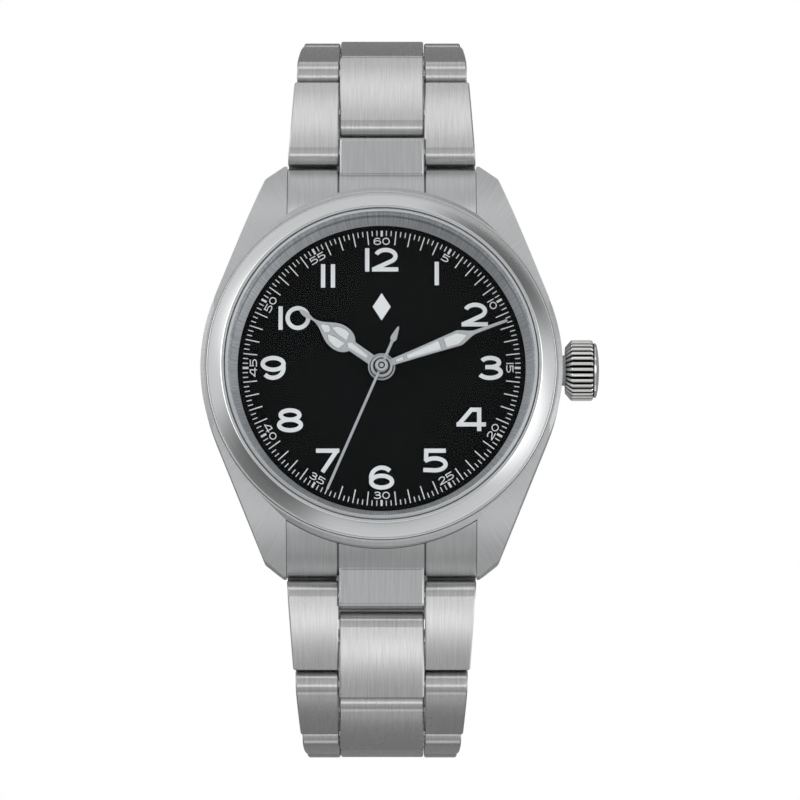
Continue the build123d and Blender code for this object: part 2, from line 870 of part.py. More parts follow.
def make_link(label, plane, near_half, far_half, extra_pin_half):
    """One link of two side pieces and a centre piece, and its pins.

    An extra pin half length above zero adds the bar that holds the clasp.
    """
    plan = Plane(origin=plane.origin, x_dir=plane.x_dir, z_dir=plane.y_dir)
    with BuildPart() as link:
        for face in (1, -1):
            inner_face = plane.offset(face * (centre_half + row_gap))
            extrude(side_section(inner_face), amount=face * (near_half - centre_half - row_gap))
        extrude(centre_section(plane), amount=centre_half, both=True)
        with BuildSketch(plan):
            Polygon(
                (-link_end_radius, near_half),
                (pitch + link_end_radius, far_half),
                (pitch + link_end_radius, -far_half),
                (-link_end_radius, -near_half),
                align=None,
            )
        extrude(amount=2 * link_end_radius, both=True, mode=Mode.INTERSECT)
        flat_ends = link.faces().filter_by(lambda f: f.geom_type == GeomType.PLANE)
        flat_ends = flat_ends.filter_by(lambda f: abs(f.normal_at().X) > 0.9)
        chamfer(flat_ends.edges(), link_bevel)
        with BuildSketch(plane):
            with Locations((0, 0), (fixing_pin_place, 0), (pitch, 0)):
                Circle(pin_radius + pin_clearance)
        extrude(amount=near_half, both=True, mode=Mode.SUBTRACT)
    save(link, label)
    with BuildPart() as pins:
        with BuildSketch(plane):
            with Locations((0, 0), (fixing_pin_place, 0)):
                Circle(pin_radius)
        extrude(amount=far_half - pin_inset, both=True)
        if extra_pin_half > 0:
            with BuildSketch(plane):
                with Locations((pitch, 0)):
                    Circle(pin_radius)
            extrude(amount=extra_pin_half, both=True)
    save(pins, f"{label}_pins")


twelve_places = chain(twelve_link_angles)
clasp_front, clasp_height = twelve_places[-1]
six_end_reach, six_end_height = chain(six_link_angles)[-1]
level_angle = 180 - degrees(asin((six_end_height - clasp_height) / pitch))
six_angles = six_link_angles + (level_angle,)
six_places = chain(six_angles)
clasp_back = -six_places[-1][0]
clasp_bar_half = cover_inner_half - row_gap

for number, angle in enumerate(twelve_link_angles, start=1):
    make_link(
        f"link_12_{number}",
        link_plane(twelve_places[number - 1], angle, 1),
        row_half(number - 1),
        row_half(number),
        0,
    )
for number, angle in enumerate(six_angles, start=1):
    make_link(
        f"link_6_{number}",
        link_plane(six_places[number - 1], angle, -1),
        row_half(number - 1),
        row_half(number),
        clasp_bar_half if number == len(six_angles) else 0,
    )

# Fold-over clasp: outwards is down, towards -Z
fold_pin = (clasp_back + fold_pin_setback, clasp_height + fold_pin_rise)
cover_pin = (clasp_front - cover_pin_setback, clasp_height - cover_pin_level)
inner_blade_bottom = clasp_height + inner_blade_rise
outer_blade_bottom = clasp_height - outer_blade_level
cover_plate_top = clasp_height - cover_plate_level
cover_bottom = cover_plate_top - cover_thickness
knuckle_reach = knuckle_radius + knuckle_clear
front_plate_end = clasp_front - link_end_radius - 2 * link_gap


def strip(low, high, half, bottom, thickness):
    """Flat blade between two places along Y."""
    with BuildSketch(Plane.XY.offset(bottom)) as blade:
        with Locations((0, (low + high) / 2)):
            Rectangle(2 * half, high - low)
    extrude(blade.sketch, amount=thickness)


def knuckle(start, width, pin, root_y, root_low, root_high):
    """Hinge knuckle about a pin, hulled to its root on the plate, from x = start to start + width."""
    with BuildSketch(Plane.YZ.offset(start)) as section:
        with Locations(pin):
            Circle(knuckle_radius)
        with Locations(((pin[0] + root_y) / 2, (root_low + root_high) / 2)):
            Rectangle(abs(pin[0] - root_y), root_high - root_low)
        make_hull()
    extrude(section.sketch, amount=width)


def pin_bore(pin, radius, half):
    """Round hole along X."""
    with BuildSketch(Plane.YZ) as bore:
        with Locations(pin):
            Circle(radius)
    extrude(bore.sketch, amount=half, both=True, mode=Mode.SUBTRACT)


outer_knuckle_start = knuckle_half + knuckle_gap
outer_knuckle_width = blade_half - outer_knuckle_start

with BuildPart() as clasp_blade_inner:
    strip(
        fold_pin[0] + knuckle_reach, front_plate_end, blade_half, inner_blade_bottom, blade_thickness
    )
    for start in (outer_knuckle_start, -outer_knuckle_start - outer_knuckle_width):
        knuckle(
            start,
            outer_knuckle_width,
            fold_pin,
            fold_pin[0] + knuckle_reach,
            inner_blade_bottom,
            inner_blade_bottom + blade_thickness,
        )
    ear_start = centre_half + row_gap
    strip(
        front_plate_end - ear_root,
        front_plate_end,
        ear_start + ear_thickness,
        inner_blade_bottom,
        blade_thickness,
    )
    for start in (ear_start, -ear_start - ear_thickness):
        with BuildSketch(Plane.YZ.offset(start)):
            with Locations((clasp_front, clasp_height)):
                Circle(ear_radius)
            with Locations((front_plate_end - ear_root / 2, inner_blade_bottom + blade_thickness / 2)):
                Rectangle(ear_root, blade_thickness)
            make_hull()
        extrude(amount=ear_thickness)
    strip(
        clasp_back + button_setback - wing_width / 2,
        clasp_back + button_setback + wing_width / 2,
        wing_half,
        inner_blade_bottom,
        blade_thickness,
    )
    pin_bore(fold_pin, pin_radius + pin_clearance, blade_half + overrun)
    pin_bore((clasp_front, clasp_height), pin_radius + pin_clearance, ear_start + 2 * ear_thickness)
save(clasp_blade_inner, "clasp_blade_inner")

with BuildPart() as clasp_blade_outer:
    strip(
        fold_pin[0] + knuckle_reach,
        cover_pin[0] - knuckle_reach,
        blade_half,
        outer_blade_bottom,
        blade_thickness,
    )
    for pin, toward in ((fold_pin, 1), (cover_pin, -1)):
        knuckle(
            -knuckle_half,
            2 * knuckle_half,
            pin,
            pin[0] + toward * knuckle_reach,
            outer_blade_bottom,
            outer_blade_bottom + blade_thickness,
        )
        pin_bore(pin, pin_radius + pin_clearance, blade_half)
save(clasp_blade_outer, "clasp_blade_outer")

cover_start = clasp_back - cover_end_overhang
cover_end = cover_pin[0] + cover_end_overhang
cover_half = cover_inner_half + cover_wall
wall_top = clasp_height + cover_wall_rise
button_place = (clasp_back + button_setback, clasp_height - button_level)
with BuildPart() as clasp_cover:
    with BuildSketch(Plane.XZ.offset(-cover_start)):
        with BuildLine():
            Polyline(
                (-cover_half, cover_bottom),
                (cover_half, cover_bottom),
                (cover_half, wall_top),
                (cover_inner_half, wall_top),
                (cover_inner_half, cover_plate_top),
                (-cover_inner_half, cover_plate_top),
                (-cover_inner_half, wall_top),
                (-cover_half, wall_top),
                close=True,
            )
        make_face()
    extrude(amount=cover_start - cover_end)
    fillet(clasp_cover.faces().sort_by(Axis.Z)[0].edges(), cover_edge_fillet)
    with BuildSketch(Plane.XY.offset(cover_bottom)):
        with Locations((0, cover_start)):
            Rectangle(2 * cover_inner_half, 2 * (cover_end_overhang + cover_plate_notch))
    extrude(amount=cover_thickness + overrun, mode=Mode.SUBTRACT)
    for start in (outer_knuckle_start, -outer_knuckle_start - outer_knuckle_width):
        with BuildSketch(Plane.YZ.offset(start)):
            with Locations(cover_pin):
                Circle(knuckle_radius)
            with Locations((cover_pin[0], cover_plate_top - cover_thickness / 4)):
                Rectangle(2 * knuckle_radius, cover_thickness / 2)
            make_hull()
        extrude(amount=outer_knuckle_width)
    pin_bore(cover_pin, pin_radius + pin_clearance, blade_half + overrun)
    with BuildSketch(Plane.YZ):
        with Locations([(clasp_back + adjust_hole_step * i, clasp_height) for i in range(adjust_holes)]):
            Circle(pin_radius + pin_clearance)
    extrude(amount=cover_half, both=True, mode=Mode.SUBTRACT)
    with BuildSketch(Plane.YZ):
        with Locations(button_place):
            SlotOverall(button_width + 2 * fit, button_height + 2 * fit)
    extrude(amount=cover_half, both=True, mode=Mode.SUBTRACT)
save(clasp_cover, "clasp_cover")


def make_pin(label, place, half):
    """Round pin along X through a place."""
    with BuildPart() as pin:
        with BuildSketch(Plane.YZ):
            with Locations(place):
                Circle(pin_radius)
        extrude(amount=half, both=True)
    save(pin, label)


make_pin("clasp_pin_back", fold_pin, blade_half)
make_pin("clasp_pin_front", cover_pin, blade_half)
make_pin("clasp_bar", (clasp_front, clasp_height), ear_start + ear_thickness)


def make_button(label, side):
    """Push button in the cover's wall; side is +1 on the crown's side."""
    flange_start = cover_inner_half - knuckle_gap - button_flange_thickness
    with BuildPart() as button:
        with BuildSketch(Plane.YZ.offset(side * flange_start)):
            with Locations(button_place):
                SlotOverall(button_width + 2 * button_flange, button_height + 2 * button_flange)
        extrude(amount=side * button_flange_thickness)
        with BuildSketch(Plane.YZ.offset(side * flange_start)):
            with Locations(button_place):
                SlotOverall(button_width, button_height)
        extrude(amount=side * (cover_half + button_proud - flange_start))
        outer_face = button.faces().sort_by(Axis.X)[-1 if side > 0 else 0]
        chamfer(outer_face.edges(), button_flange / 2)
    save(button, label)


make_button("push_button_right", 1)
make_button("push_button_left", -1)

print("12 o'clock pins", [(round(y, 3), round(z, 3)) for y, z in twelve_places])
print("6 o'clock pins", [(round(-y, 3), round(z, 3)) for y, z in six_places])
print("fold pin", fold_pin, "cover pin", cover_pin)
print("cover bottom", cover_bottom, "last slope", level_angle)
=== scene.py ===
"""Looks of a three-hand field watch on a three-row steel bracelet.

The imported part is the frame. Its solids keep their places and get finishes, and finer pieces
stand for the bezel, glass, flange ring, dial print, crown, hand hubs and luminous fillings.
Sizes are in millimetres in the part's own frame: +Z out of the dial, +Y to 12 o'clock.
"""

from __future__ import annotations

import json
import logging
import math
from abc import ABC, abstractmethod
from dataclasses import dataclass, field
from enum import Enum

import bpy
import numpy as np
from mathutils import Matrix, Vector

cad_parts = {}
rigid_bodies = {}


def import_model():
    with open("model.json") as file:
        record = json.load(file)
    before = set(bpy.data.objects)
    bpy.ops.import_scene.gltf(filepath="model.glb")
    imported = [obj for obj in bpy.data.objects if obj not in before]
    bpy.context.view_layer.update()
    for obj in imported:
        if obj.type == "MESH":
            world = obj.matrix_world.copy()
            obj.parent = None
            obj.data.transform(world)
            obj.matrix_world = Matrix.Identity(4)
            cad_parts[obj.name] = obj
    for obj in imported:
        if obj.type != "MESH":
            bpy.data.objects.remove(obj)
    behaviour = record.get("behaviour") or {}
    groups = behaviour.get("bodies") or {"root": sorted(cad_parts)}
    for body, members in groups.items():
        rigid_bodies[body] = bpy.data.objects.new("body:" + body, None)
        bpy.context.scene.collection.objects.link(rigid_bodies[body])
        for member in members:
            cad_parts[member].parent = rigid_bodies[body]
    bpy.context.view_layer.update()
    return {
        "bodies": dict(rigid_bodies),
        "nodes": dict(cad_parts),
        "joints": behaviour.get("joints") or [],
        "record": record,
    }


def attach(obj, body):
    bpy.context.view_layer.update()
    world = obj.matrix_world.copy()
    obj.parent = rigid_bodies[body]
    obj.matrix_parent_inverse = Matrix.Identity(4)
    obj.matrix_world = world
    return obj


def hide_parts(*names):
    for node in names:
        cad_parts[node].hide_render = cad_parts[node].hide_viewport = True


LOG = logging.getLogger("field_watch")
MM = 0.001
TURN = 2 * math.pi
# Point attribute with the share of painted shade in the crown's flutes
GROOVE_SHADE = "groove_painted_shade"
SHARP_DEGREES = 35
WHITE = (1.0, 1.0, 1.0, 1.0)
# Points and arrays of faces
Shape = tuple[np.ndarray, list[np.ndarray]]
Socket = bpy.types.NodeSocket


# Colour and node helpers
def linear(hex_colour: str) -> tuple[float, float, float, float]:
    """Turn an sRGB hex colour into linear light.

    Args:
        hex_colour: colour as "#RRGGBB".

    Returns:
        Red, green, blue and an alpha of one, in linear light.
    """
    values = [int(hex_colour[i : i + 2], 16) / 255 for i in (1, 3, 5)]
    return (*[v / 12.92 if v <= 0.04045 else ((v + 0.055) / 1.055) ** 2.4 for v in values], 1.0)


class Nodes:
    """Node tree of a new material, with short calls for the nodes that the finishes share.

    An input that is given a socket is linked to it, and any other value is set on the input.
    """

    def __init__(self, name: str) -> None:
        """Start a material.

        Args:
            name: its name.
        """
        self.material = bpy.data.materials.new(name)
        self.material.use_nodes = True
        self.tree = self.material.node_tree
        self.shader = self.tree.nodes["Principled BSDF"]

    def fill(self, node: bpy.types.Node, inputs: dict) -> None:
        """Link or set inputs of a node.

        Args:
            node: the node.
            inputs: sockets or values, by name or index of the input.
        """
        for name, value in inputs.items():
            if isinstance(value, Socket):
                self.tree.links.new(value, node.inputs[name])
            else:
                node.inputs[name].default_value = value

    def add(
        self, kind: str, output: str | int, inputs: dict | None = None, **settings: object
    ) -> Socket:
        """Add a node and give one of its outputs.

        Args:
            kind: Blender's name of the node type, after "ShaderNode".
            output: name or index of the output.
            inputs: sockets or values, by name or index of the input.
            settings: attributes of the node.

        Returns:
            The output.
        """
        node = self.tree.nodes.new("ShaderNode" + kind)
        for name, value in settings.items():
            setattr(node, name, value)
        self.fill(node, inputs or {})
        return node.outputs[output]

    def place(self) -> Socket:
        """Give the place in the piece's own coordinates."""
        return self.add("TexCoord", "Object")

    def axes(self, vector: Socket) -> bpy.types.bpy_prop_collection:
        """Split a vector into its X, Y and Z."""
        return self.add("SeparateXYZ", "X", {"Vector": vector}).node.outputs

    def math(self, operation: str, *values: Socket | float) -> Socket:
        """Do one sum with sockets or numbers."""
        return self.add("Math", "Value", dict(enumerate(values)), operation=operation)

    def vector_math(self, operation: str, output: str, *values: Socket | tuple) -> Socket:
        """Do one sum with vectors."""
        return self.add("VectorMath", output, dict(enumerate(values)), operation=operation)

    def noise(
        self, place: Socket, scale: float, detail: float = 2.0, roughness: float = 0.5
    ) -> Socket:
        """Add a noise pattern.

        Args:
            place: place in the pattern.
            scale: cells per unit of the place.
            detail: number of finer layers.
            roughness: weight of the finer layers.

        Returns:
            Its value, about a half on average.
        """
        inputs = {"Vector": place, "Scale": scale, "Detail": detail, "Roughness": roughness}
        return self.add("TexNoise", "Fac", inputs)

    def spread(
        self,
        value: Socket,
        low: float,
        high: float,
        start: float = 0.0,
        end: float = 1.0,
        **settings: object,
    ) -> Socket:
        """Map a value to a range, and hold it at the range's ends.

        Args:
            value: the value.
            low: result at the start.
            high: result at the end.
            start: value at which the range starts.
            end: value at which it ends.
            settings: attributes of the node.

        Returns:
            The result.
        """
        inputs = {"Value": value, "From Min": start, "From Max": end, "To Min": low, "To Max": high}
        return self.add("MapRange", "Result", inputs, **settings)

    def bump(self, height: Socket, depth_mm: float) -> Socket:
        """Turn a height pattern into a normal, with its depth in millimetres."""
        inputs = {"Height": height, "Strength": 1.0, "Distance": depth_mm * MM}
        return self.add("Bump", "Normal", inputs)

    def ramp(self, value: Socket, stops: tuple[tuple[float, tuple], ...]) -> Socket:
        """Turn a value into a colour along straight runs.

        Args:
            value: the value.
            stops: positions, each with its colour.

        Returns:
            The colour.
        """
        colour = self.add("ValToRGB", "Color", {"Fac": value})
        marks = colour.node.color_ramp.elements
        while len(marks) < len(stops):
            marks.new(1.0)
        for mark, stop in zip(marks, stops):
            mark.position, mark.color = stop
        return colour

    def blend(self, share: Socket, first: Socket | tuple, second: Socket | tuple) -> Socket:
        """Mix two colours by the share of the second."""
        return self.add("Mix", 2, {0: share, 6: first, 7: second}, data_type="RGBA")

    def surface(self, shader: Socket) -> bpy.types.Material:
        """Show a shader on the surface, and give the material."""
        self.tree.links.new(shader, self.tree.nodes["Material Output"].inputs["Surface"])
        return self.material


# Mesh helpers
def to_object(
    name: str,
    points: np.ndarray,
    faces: list[np.ndarray],
    material: bpy.types.Material,
    smooth: bool = True,
) -> bpy.types.Object:
    """Make a mesh object at the origin from points in millimetres.

    Args:
        name: name of the piece.
        points: corner points, one row each, in millimetres.
        faces: arrays of corner numbers, each array with one row per face.
        material: finish of the piece.
        smooth: whether the faces share their normals, except at sharp corners.

    Returns:
        The linked object.
    """
    mesh = bpy.data.meshes.new(name)
    rows = [row for block in faces for row in block.tolist()]
    mesh.from_pydata((points * MM).tolist(), [], rows)
    mesh.validate()
    mesh.materials.append(material)
    if smooth:
        mesh.shade_smooth()
        mesh.set_sharp_from_angle(angle=math.radians(SHARP_DEGREES))
    mesh.update()
    piece = bpy.data.objects.new(name, mesh)
    bpy.context.scene.collection.objects.link(piece)
    return piece


def grid_faces(rows: int, columns: int, closed_rows: bool, closed_columns: bool) -> np.ndarray:
    """Corner numbers of the quads of a grid whose points run row by row.

    Args:
        rows: number of rows of points.
        columns: number of points in a row.
        closed_rows: whether the last row joins the first.
        closed_columns: whether the last column joins the first.

    Returns:
        Quads, one row each.
    """
    i, j = np.meshgrid(
        np.arange(rows if closed_rows else rows - 1),
        np.arange(columns if closed_columns else columns - 1),
        indexing="ij",
    )
    i, j = i.ravel(), j.ravel()
    k, m = (i + 1) % rows, (j + 1) % columns
    return np.stack([i * columns + j, i * columns + m, k * columns + m, k * columns + j], axis=1)


def spun(profile: np.ndarray, segments: int) -> Shape:
    """Spin a closed profile about the dial's axis.

    The point at turn t and profile place (r, z) is (r cos t, r sin t, z). The profile runs
    anticlockwise as seen with r to the right and z up, so the faces point outwards.

    Args:
        profile: rows of radius and height, in millimetres, closed.
        segments: steps round the axis.

    Returns:
        Points and faces.
    """
    turn = np.linspace(0, TURN, segments, endpoint=False)[:, None]
    radius, height = profile[:, 0][None, :], profile[:, 1][None, :]
    points = np.stack([radius * np.cos(turn), radius * np.sin(turn), height + 0 * turn], axis=-1)
    return points.reshape(-1, 3), [grid_faces(segments, len(profile), True, True)]


def rounded(corners: list[tuple[float, float, float]], steps: int = 5) -> np.ndarray:
    """Round the corners of a closed outline.

    Each corner is replaced by a curve from a point before it to a point after it, both at the
    corner's own distance, with weights (1 - t)^2, 2t(1 - t) and t^2 on the three points.

    Args:
        corners: rows of x, y and the distance that the rounding takes from each side.
        steps: points on each rounding.

    Returns:
        The rounded outline, one row per point.
    """
    table = np.array(corners, float)
    here, size = table[:, :2], table[:, 2:3]
    back, ahead = np.roll(here, 1, axis=0) - here, np.roll(here, -1, axis=0) - here
    back /= np.linalg.norm(back, axis=1, keepdims=True)
    ahead /= np.linalg.norm(ahead, axis=1, keepdims=True)
    start, end = (here + back * size)[:, None], (here + ahead * size)[:, None]
    t = np.linspace(0, 1, steps)[None, :, None]
    curve = (1 - t) ** 2 * start + 2 * t * (1 - t) * here[:, None] + t**2 * end
    flat = curve.reshape(-1, 2)
    keep = np.linalg.norm(flat - np.roll(flat, 1, axis=0), axis=1) > 1e-6
    return flat[keep]


def stroke(
    line: np.ndarray, half: float, low: float, high: float, closed: bool = False
) -> Shape:
    """Carry a flat rectangular section along a line, as a printed stroke.

    At each point the section runs from the line plus half a width along the left normal to the
    line minus the same, between two heights. Corners are mitred by one over the cosine of half
    the turn.

    Args:
        line: rows of x and y along the middle of the stroke.
        half: half the stroke's width.
        low: height of its foot.
        high: height of its face.
        closed: whether the line joins up.

    Returns:
        Points and faces.
    """
    if closed:
        before, after = line - np.roll(line, 1, axis=0), np.roll(line, -1, axis=0) - line
    else:
        steps = np.diff(line, axis=0)
        before = np.vstack([steps[:1], steps])
        after = np.vstack([steps, steps[-1:]])
    before = before / np.linalg.norm(before, axis=1, keepdims=True)
    after = after / np.linalg.norm(after, axis=1, keepdims=True)
    middle = before + after
    middle /= np.linalg.norm(middle, axis=1, keepdims=True)
    mitre = 1 / np.clip((middle * after).sum(axis=1, keepdims=True), 0.5, 1)
    normal = np.stack([-middle[:, 1], middle[:, 0]], axis=1) * mitre * half
    left, right = line + normal, line - normal
    section = [(left, high), (left, low), (right, low), (right, high)]
    points = np.stack(
        [np.column_stack([side, np.full(len(line), level)]) for side, level in section], axis=1
    ).reshape(-1, 3)
    quads = grid_faces(len(line), len(section), closed, True)
    if not closed:
        last = (len(line) - 1) * len(section)
        ends = np.array([[3, 2, 1, 0], [last, last + 1, last + 2, last + 3]])
        quads = np.vstack([quads, ends])
    return points, [quads]


def merged(parts: list[Shape]) -> Shape:
    """Put several shapes into one.

    Args:
        parts: points and faces of each part.

    Returns:
        All points, and the faces renumbered to them.
    """
    points, faces, offset = [], [], 0
    for some_points, some_faces in parts:
        points.append(some_points)
        faces += [block + offset for block in some_faces]
        offset += len(some_points)
    return np.vstack(points), faces


def turned(flat: np.ndarray, degrees: float) -> np.ndarray:
    """Turn rows of x and y about the dial's axis; positive is anticlockwise."""
    c, s = math.cos(math.radians(degrees)), math.sin(math.radians(degrees))
    return flat @ np.array([[c, s], [-s, c]])


def domed_tile(outline: np.ndarray, low: float, high: float, crown: float) -> Shape:
    """Make a tile with a crowned face from an outline.

    Rings of the outline shrink to its middle. The ring of share s lies at the face's height plus
    the crown times one minus s squared.

    Args:
        outline: rows of x and y, anticlockwise.
        low: height of the tile's foot.
        high: height of its edge.
        crown: how much higher its middle is.

    Returns:
        Points and faces.
    """
    middle = outline.mean(axis=0)
    count = len(outline)
    shares = np.array([1.0, 1.0, 0.85, 0.6, 0.3])
    levels = np.concatenate([[low], high + crown * (1 - shares[1:] ** 2)])
    rings = middle + shares[:, None, None] * (outline - middle)
    points = np.concatenate(
        [rings, np.broadcast_to(levels[:, None, None], (len(shares), count, 1))], axis=2
    ).reshape(-1, 3)
    tops = np.array([[*middle, high + crown], [*middle, low]])
    points = np.vstack([points, tops])
    quads = grid_faces(len(shares), count, False, True)
    around = np.arange(count)
    last = (len(shares) - 1) * count
    fan = np.stack(
        [last + around, last + (around + 1) % count, np.full(count, len(points) - 2)], axis=1
    )
    foot = np.stack([(around + 1) % count, around, np.full(count, len(points) - 1)], axis=1)
    return points, [quads, fan, foot]


# Finishes
class BrushPath(Enum):
    """The way that the lines of a brushed or turned finish run."""

    ALONG_BRACELET = "along the loop of the bracelet"
    SUNRAY = "out from the dial's axis on flats, and level round the flanks"
    RADIAL = "out from the dial's axis everywhere"
    CIRCULAR = "round the dial's axis"
    ROUND_CROWN = "round the crown's axis"


@dataclass(frozen=True)
class Steel:
    """Stainless steel 316L in one of its finishes.

    Brushing leaves fine parallel scratches that widen reflections across their own direction and
    show as light and dark streaks. Real scratches are 0.01 to 0.03 mm apart, which is too fine
    for the picture, so they are drawn wider.

    Attributes:
        name: name of the material.
        path: way that the lines run.
        colour: reflection colour as sRGB hex.
        roughness: mean roughness.
        line_mm: width of one drawn line.
        length_mm: length of a line.
        depth_mm: height of the lines' bump.
        contrast: share of colour lost in the darkest lines.
        metallic: how metallic it is, under one where blasting or a lacquer dulls it.
        groove_colour: colour of painted shade in the depth of flutes and grooves, where light is
            lost between their walls.
        groove_mm: distances from the middle, across the bracelet, between which a groove runs and
            its painted shade is laid.
    """

    name: str
    path: BrushPath
    colour: str
    roughness: float
    line_mm: float
    length_mm: float
    depth_mm: float
    contrast: float = 0.16
    metallic: float = 1.0
    groove_colour: str = ""
    groove_mm: tuple[float, float] | None = None

    # Noise values between which a line goes from dark to light
    line_range = (0.32, 0.68)
    # Size of the duller and brighter clouds, their noise values and their share of roughness
    cloud_mm = 3.5
    cloud_range = (0.3, 0.7)
    cloud_share = 0.04
    # Radius at which a ray has its own width, and upright part of a normal that counts as flat
    ray_radius_mm = 18
    flat_from = 0.5

    def groove(self, nodes: Nodes) -> Socket:
        """Give the share of painted shade at a point in a groove: from the mesh, or from its place
        across.

        Args:
            nodes: nodes of the material.

        Returns:
            Share of the painted shade's colour.
        """
        if self.groove_mm is None:
            return nodes.add("Attribute", "Fac", attribute_name=GROOVE_SHADE)
        distance = nodes.math("ABSOLUTE", nodes.axes(nodes.place())["X"])
        near, far = self.groove_mm
        return nodes.math("COMPARE", distance, (near + far) / 2 * MM, (far - near) / 2 * MM)

    def coordinates(self, nodes: Nodes) -> Socket:
        """Give the pattern place: one cell of noise is one line wide and one line long.

        Args:
            nodes: nodes of the material.

        Returns:
            Place in the pattern.
        """
        across, along = 1 / (self.line_mm * MM), 1 / (self.length_mm * MM)
        if self.path is BrushPath.ALONG_BRACELET:
            inputs = {"Vector": nodes.place(), "Scale": (across, along, along)}
            return nodes.add("Mapping", "Vector", inputs)
        split = nodes.axes(nodes.place())
        on_crown = self.path is BrushPath.ROUND_CROWN
        first, second, axial = ("Y", "Z", "X") if on_crown else ("X", "Y", "Z")
        flat = nodes.add("CombineXYZ", "Vector", {"X": split[first], "Y": split[second]})
        radius = nodes.vector_math("LENGTH", "Value", flat)
        if self.path in (BrushPath.SUNRAY, BrushPath.RADIAL):
            return self.rays(nodes, split, radius, across, along)
        parts = {
            "X": nodes.math("MULTIPLY", radius, across),
            "Y": nodes.math("MULTIPLY", split[second], along),
            "Z": nodes.math("MULTIPLY", split[axial], across),
        }
        return nodes.add("CombineXYZ", "Vector", parts)

    def rays(
        self,
        nodes: Nodes,
        split: bpy.types.bpy_prop_collection,
        radius: Socket,
        across: float,
        along: float,
    ) -> Socket:
        """Give the place for lines that run out from the axis on flats and level on flanks.

        On a flat the fine coordinate is the turn about the axis times a radius. On a flank it is
        the height, unless the lines run out everywhere.

        Args:
            nodes: nodes of the material.
            split: X, Y and Z of the place.
            radius: distance from the axis.
            across: lines per metre.
            along: line lengths per metre.

        Returns:
            Place in the pattern.
        """
        turn = nodes.math("ARCTAN2", split["Y"], split["X"])
        rays = nodes.math("MULTIPLY", turn, self.ray_radius_mm * MM * across)
        levels = nodes.math("MULTIPLY", split["Z"], across)
        outward = nodes.math("MULTIPLY", radius, along)
        upright = nodes.axes(nodes.add("NewGeometry", "Normal"))["Z"]
        steepest = self.flat_from if self.path is BrushPath.SUNRAY else -1.0
        is_flat = nodes.math("GREATER_THAN", nodes.math("ABSOLUTE", upright), steepest)
        fine = nodes.add("Mix", 0, {0: is_flat, 2: levels, 3: rays}, data_type="FLOAT")
        return nodes.add("CombineXYZ", "Vector", {"X": fine, "Y": outward})

    def material(self) -> bpy.types.Material:
        """Build the material: streaks in colour, roughness and bump over a metal.

        Returns:
            The material.
        """
        nodes = Nodes(self.name)
        lines = nodes.noise(self.coordinates(nodes), 1.0, 3.0, 0.6)
        clouds = nodes.noise(nodes.place(), 1 / (self.cloud_mm * MM))
        light = linear(self.colour)
        dark = (*[c * (1 - self.contrast) for c in light[:3]], 1.0)
        colour = nodes.ramp(lines, tuple(zip(self.line_range, (dark, light))))
        # Painted shade: a dark colour blended in where flutes and grooves lie, for light lost
        # between their walls
        if self.groove_colour:
            colour = nodes.blend(self.groove(nodes), colour, linear(self.groove_colour))
        low, high = self.roughness * (1 - self.cloud_share), self.roughness * (1 + self.cloud_share)
        inputs = {
            "Metallic": self.metallic,
            "Base Color": colour,
            "Roughness": nodes.spread(clouds, low, high, *self.cloud_range),
            "Normal": nodes.bump(lines, self.depth_mm),
        }
        nodes.fill(nodes.shader, inputs)
        return nodes.material


@dataclass(frozen=True)
class Coating:
    """A non-metal or coated surface: lacquer, printing ink, paint filling, rubber or plastic.

    Fine grain from the coating's own grit moves its colour and roughness a little and gives it a
    low bump, so that it isn't dead flat.

    Attributes:
        name: name of the material.
        colour: sRGB hex colour.
        grain_colour: colour of the grain's darker spots.
        roughness: mean roughness.
        specular: specular level, low on matt coats.
        grain_mm: size of a grain.
        grain_depth_mm: height of its bump.
    """

    name: str
    colour: str
    grain_colour: str
    roughness: float
    specular: float
    grain_mm: float = 0.12
    grain_depth_mm: float = 0.002

    # Share of the roughness that the grain adds or takes away
    grain_share = 0.1

    def material(self) -> bpy.types.Material:
        """Build the material: grain in colour, roughness and bump.

        Returns:
            The material.
        """
        nodes = Nodes(self.name)
        grain = nodes.noise(nodes.place(), 1 / (self.grain_mm * MM))
        low, high = self.roughness * (1 - self.grain_share), self.roughness * (1 + self.grain_share)
        inputs = {
            "Specular IOR Level": self.specular,
            "Base Color": nodes.blend(grain, linear(self.grain_colour), linear(self.colour)),
            "Roughness": nodes.spread(grain, low, high),
            "Normal": nodes.bump(grain, self.grain_depth_mm),
        }
        nodes.fill(nodes.shader, inputs)
        return nodes.material


@dataclass(frozen=True)
class Sapphire:
    """Polished synthetic sapphire with an antireflection coat, which leaves it almost unseen.

    Attributes:
        name: name of the material.
        tint: colour of what passes.
        reflection: share of light that the coat still reflects face on.
        edge_reflection: the same, edge on.
        edge_blend: how early the gloss grows toward the edge.
        smear_mm: size of the faint smears in the polish.
        polish: roughness between and on the smears.
    """

    name: str
    tint: str = "#FAFBFC"
    reflection: float = 0.003
    edge_reflection: float = 0.5
    edge_blend: float = 0.12
    smear_mm: float = 9.0
    polish: tuple[float, float] = (0.02, 0.06)

    def material(self) -> bpy.types.Material:
        """Build the material: clear to what is under it, with a faint gloss that grows edge on.

        Returns:
            The material.
        """
        nodes = Nodes(self.name)
        smears = nodes.noise(nodes.place(), 1 / (self.smear_mm * MM))
        nodes.fill(nodes.shader, {"Metallic": 1.0, "Roughness": nodes.spread(smears, *self.polish)})
        clear = nodes.add("BsdfTransparent", "BSDF", {"Color": linear(self.tint)})
        grazing = nodes.add("LayerWeight", "Facing", {"Blend": self.edge_blend})
        share = nodes.spread(grazing, self.reflection, self.edge_reflection)
        gloss = nodes.shader.outputs["BSDF"]
        return nodes.surface(nodes.add("MixShader", "Shader", {0: share, 1: clear, 2: gloss}))


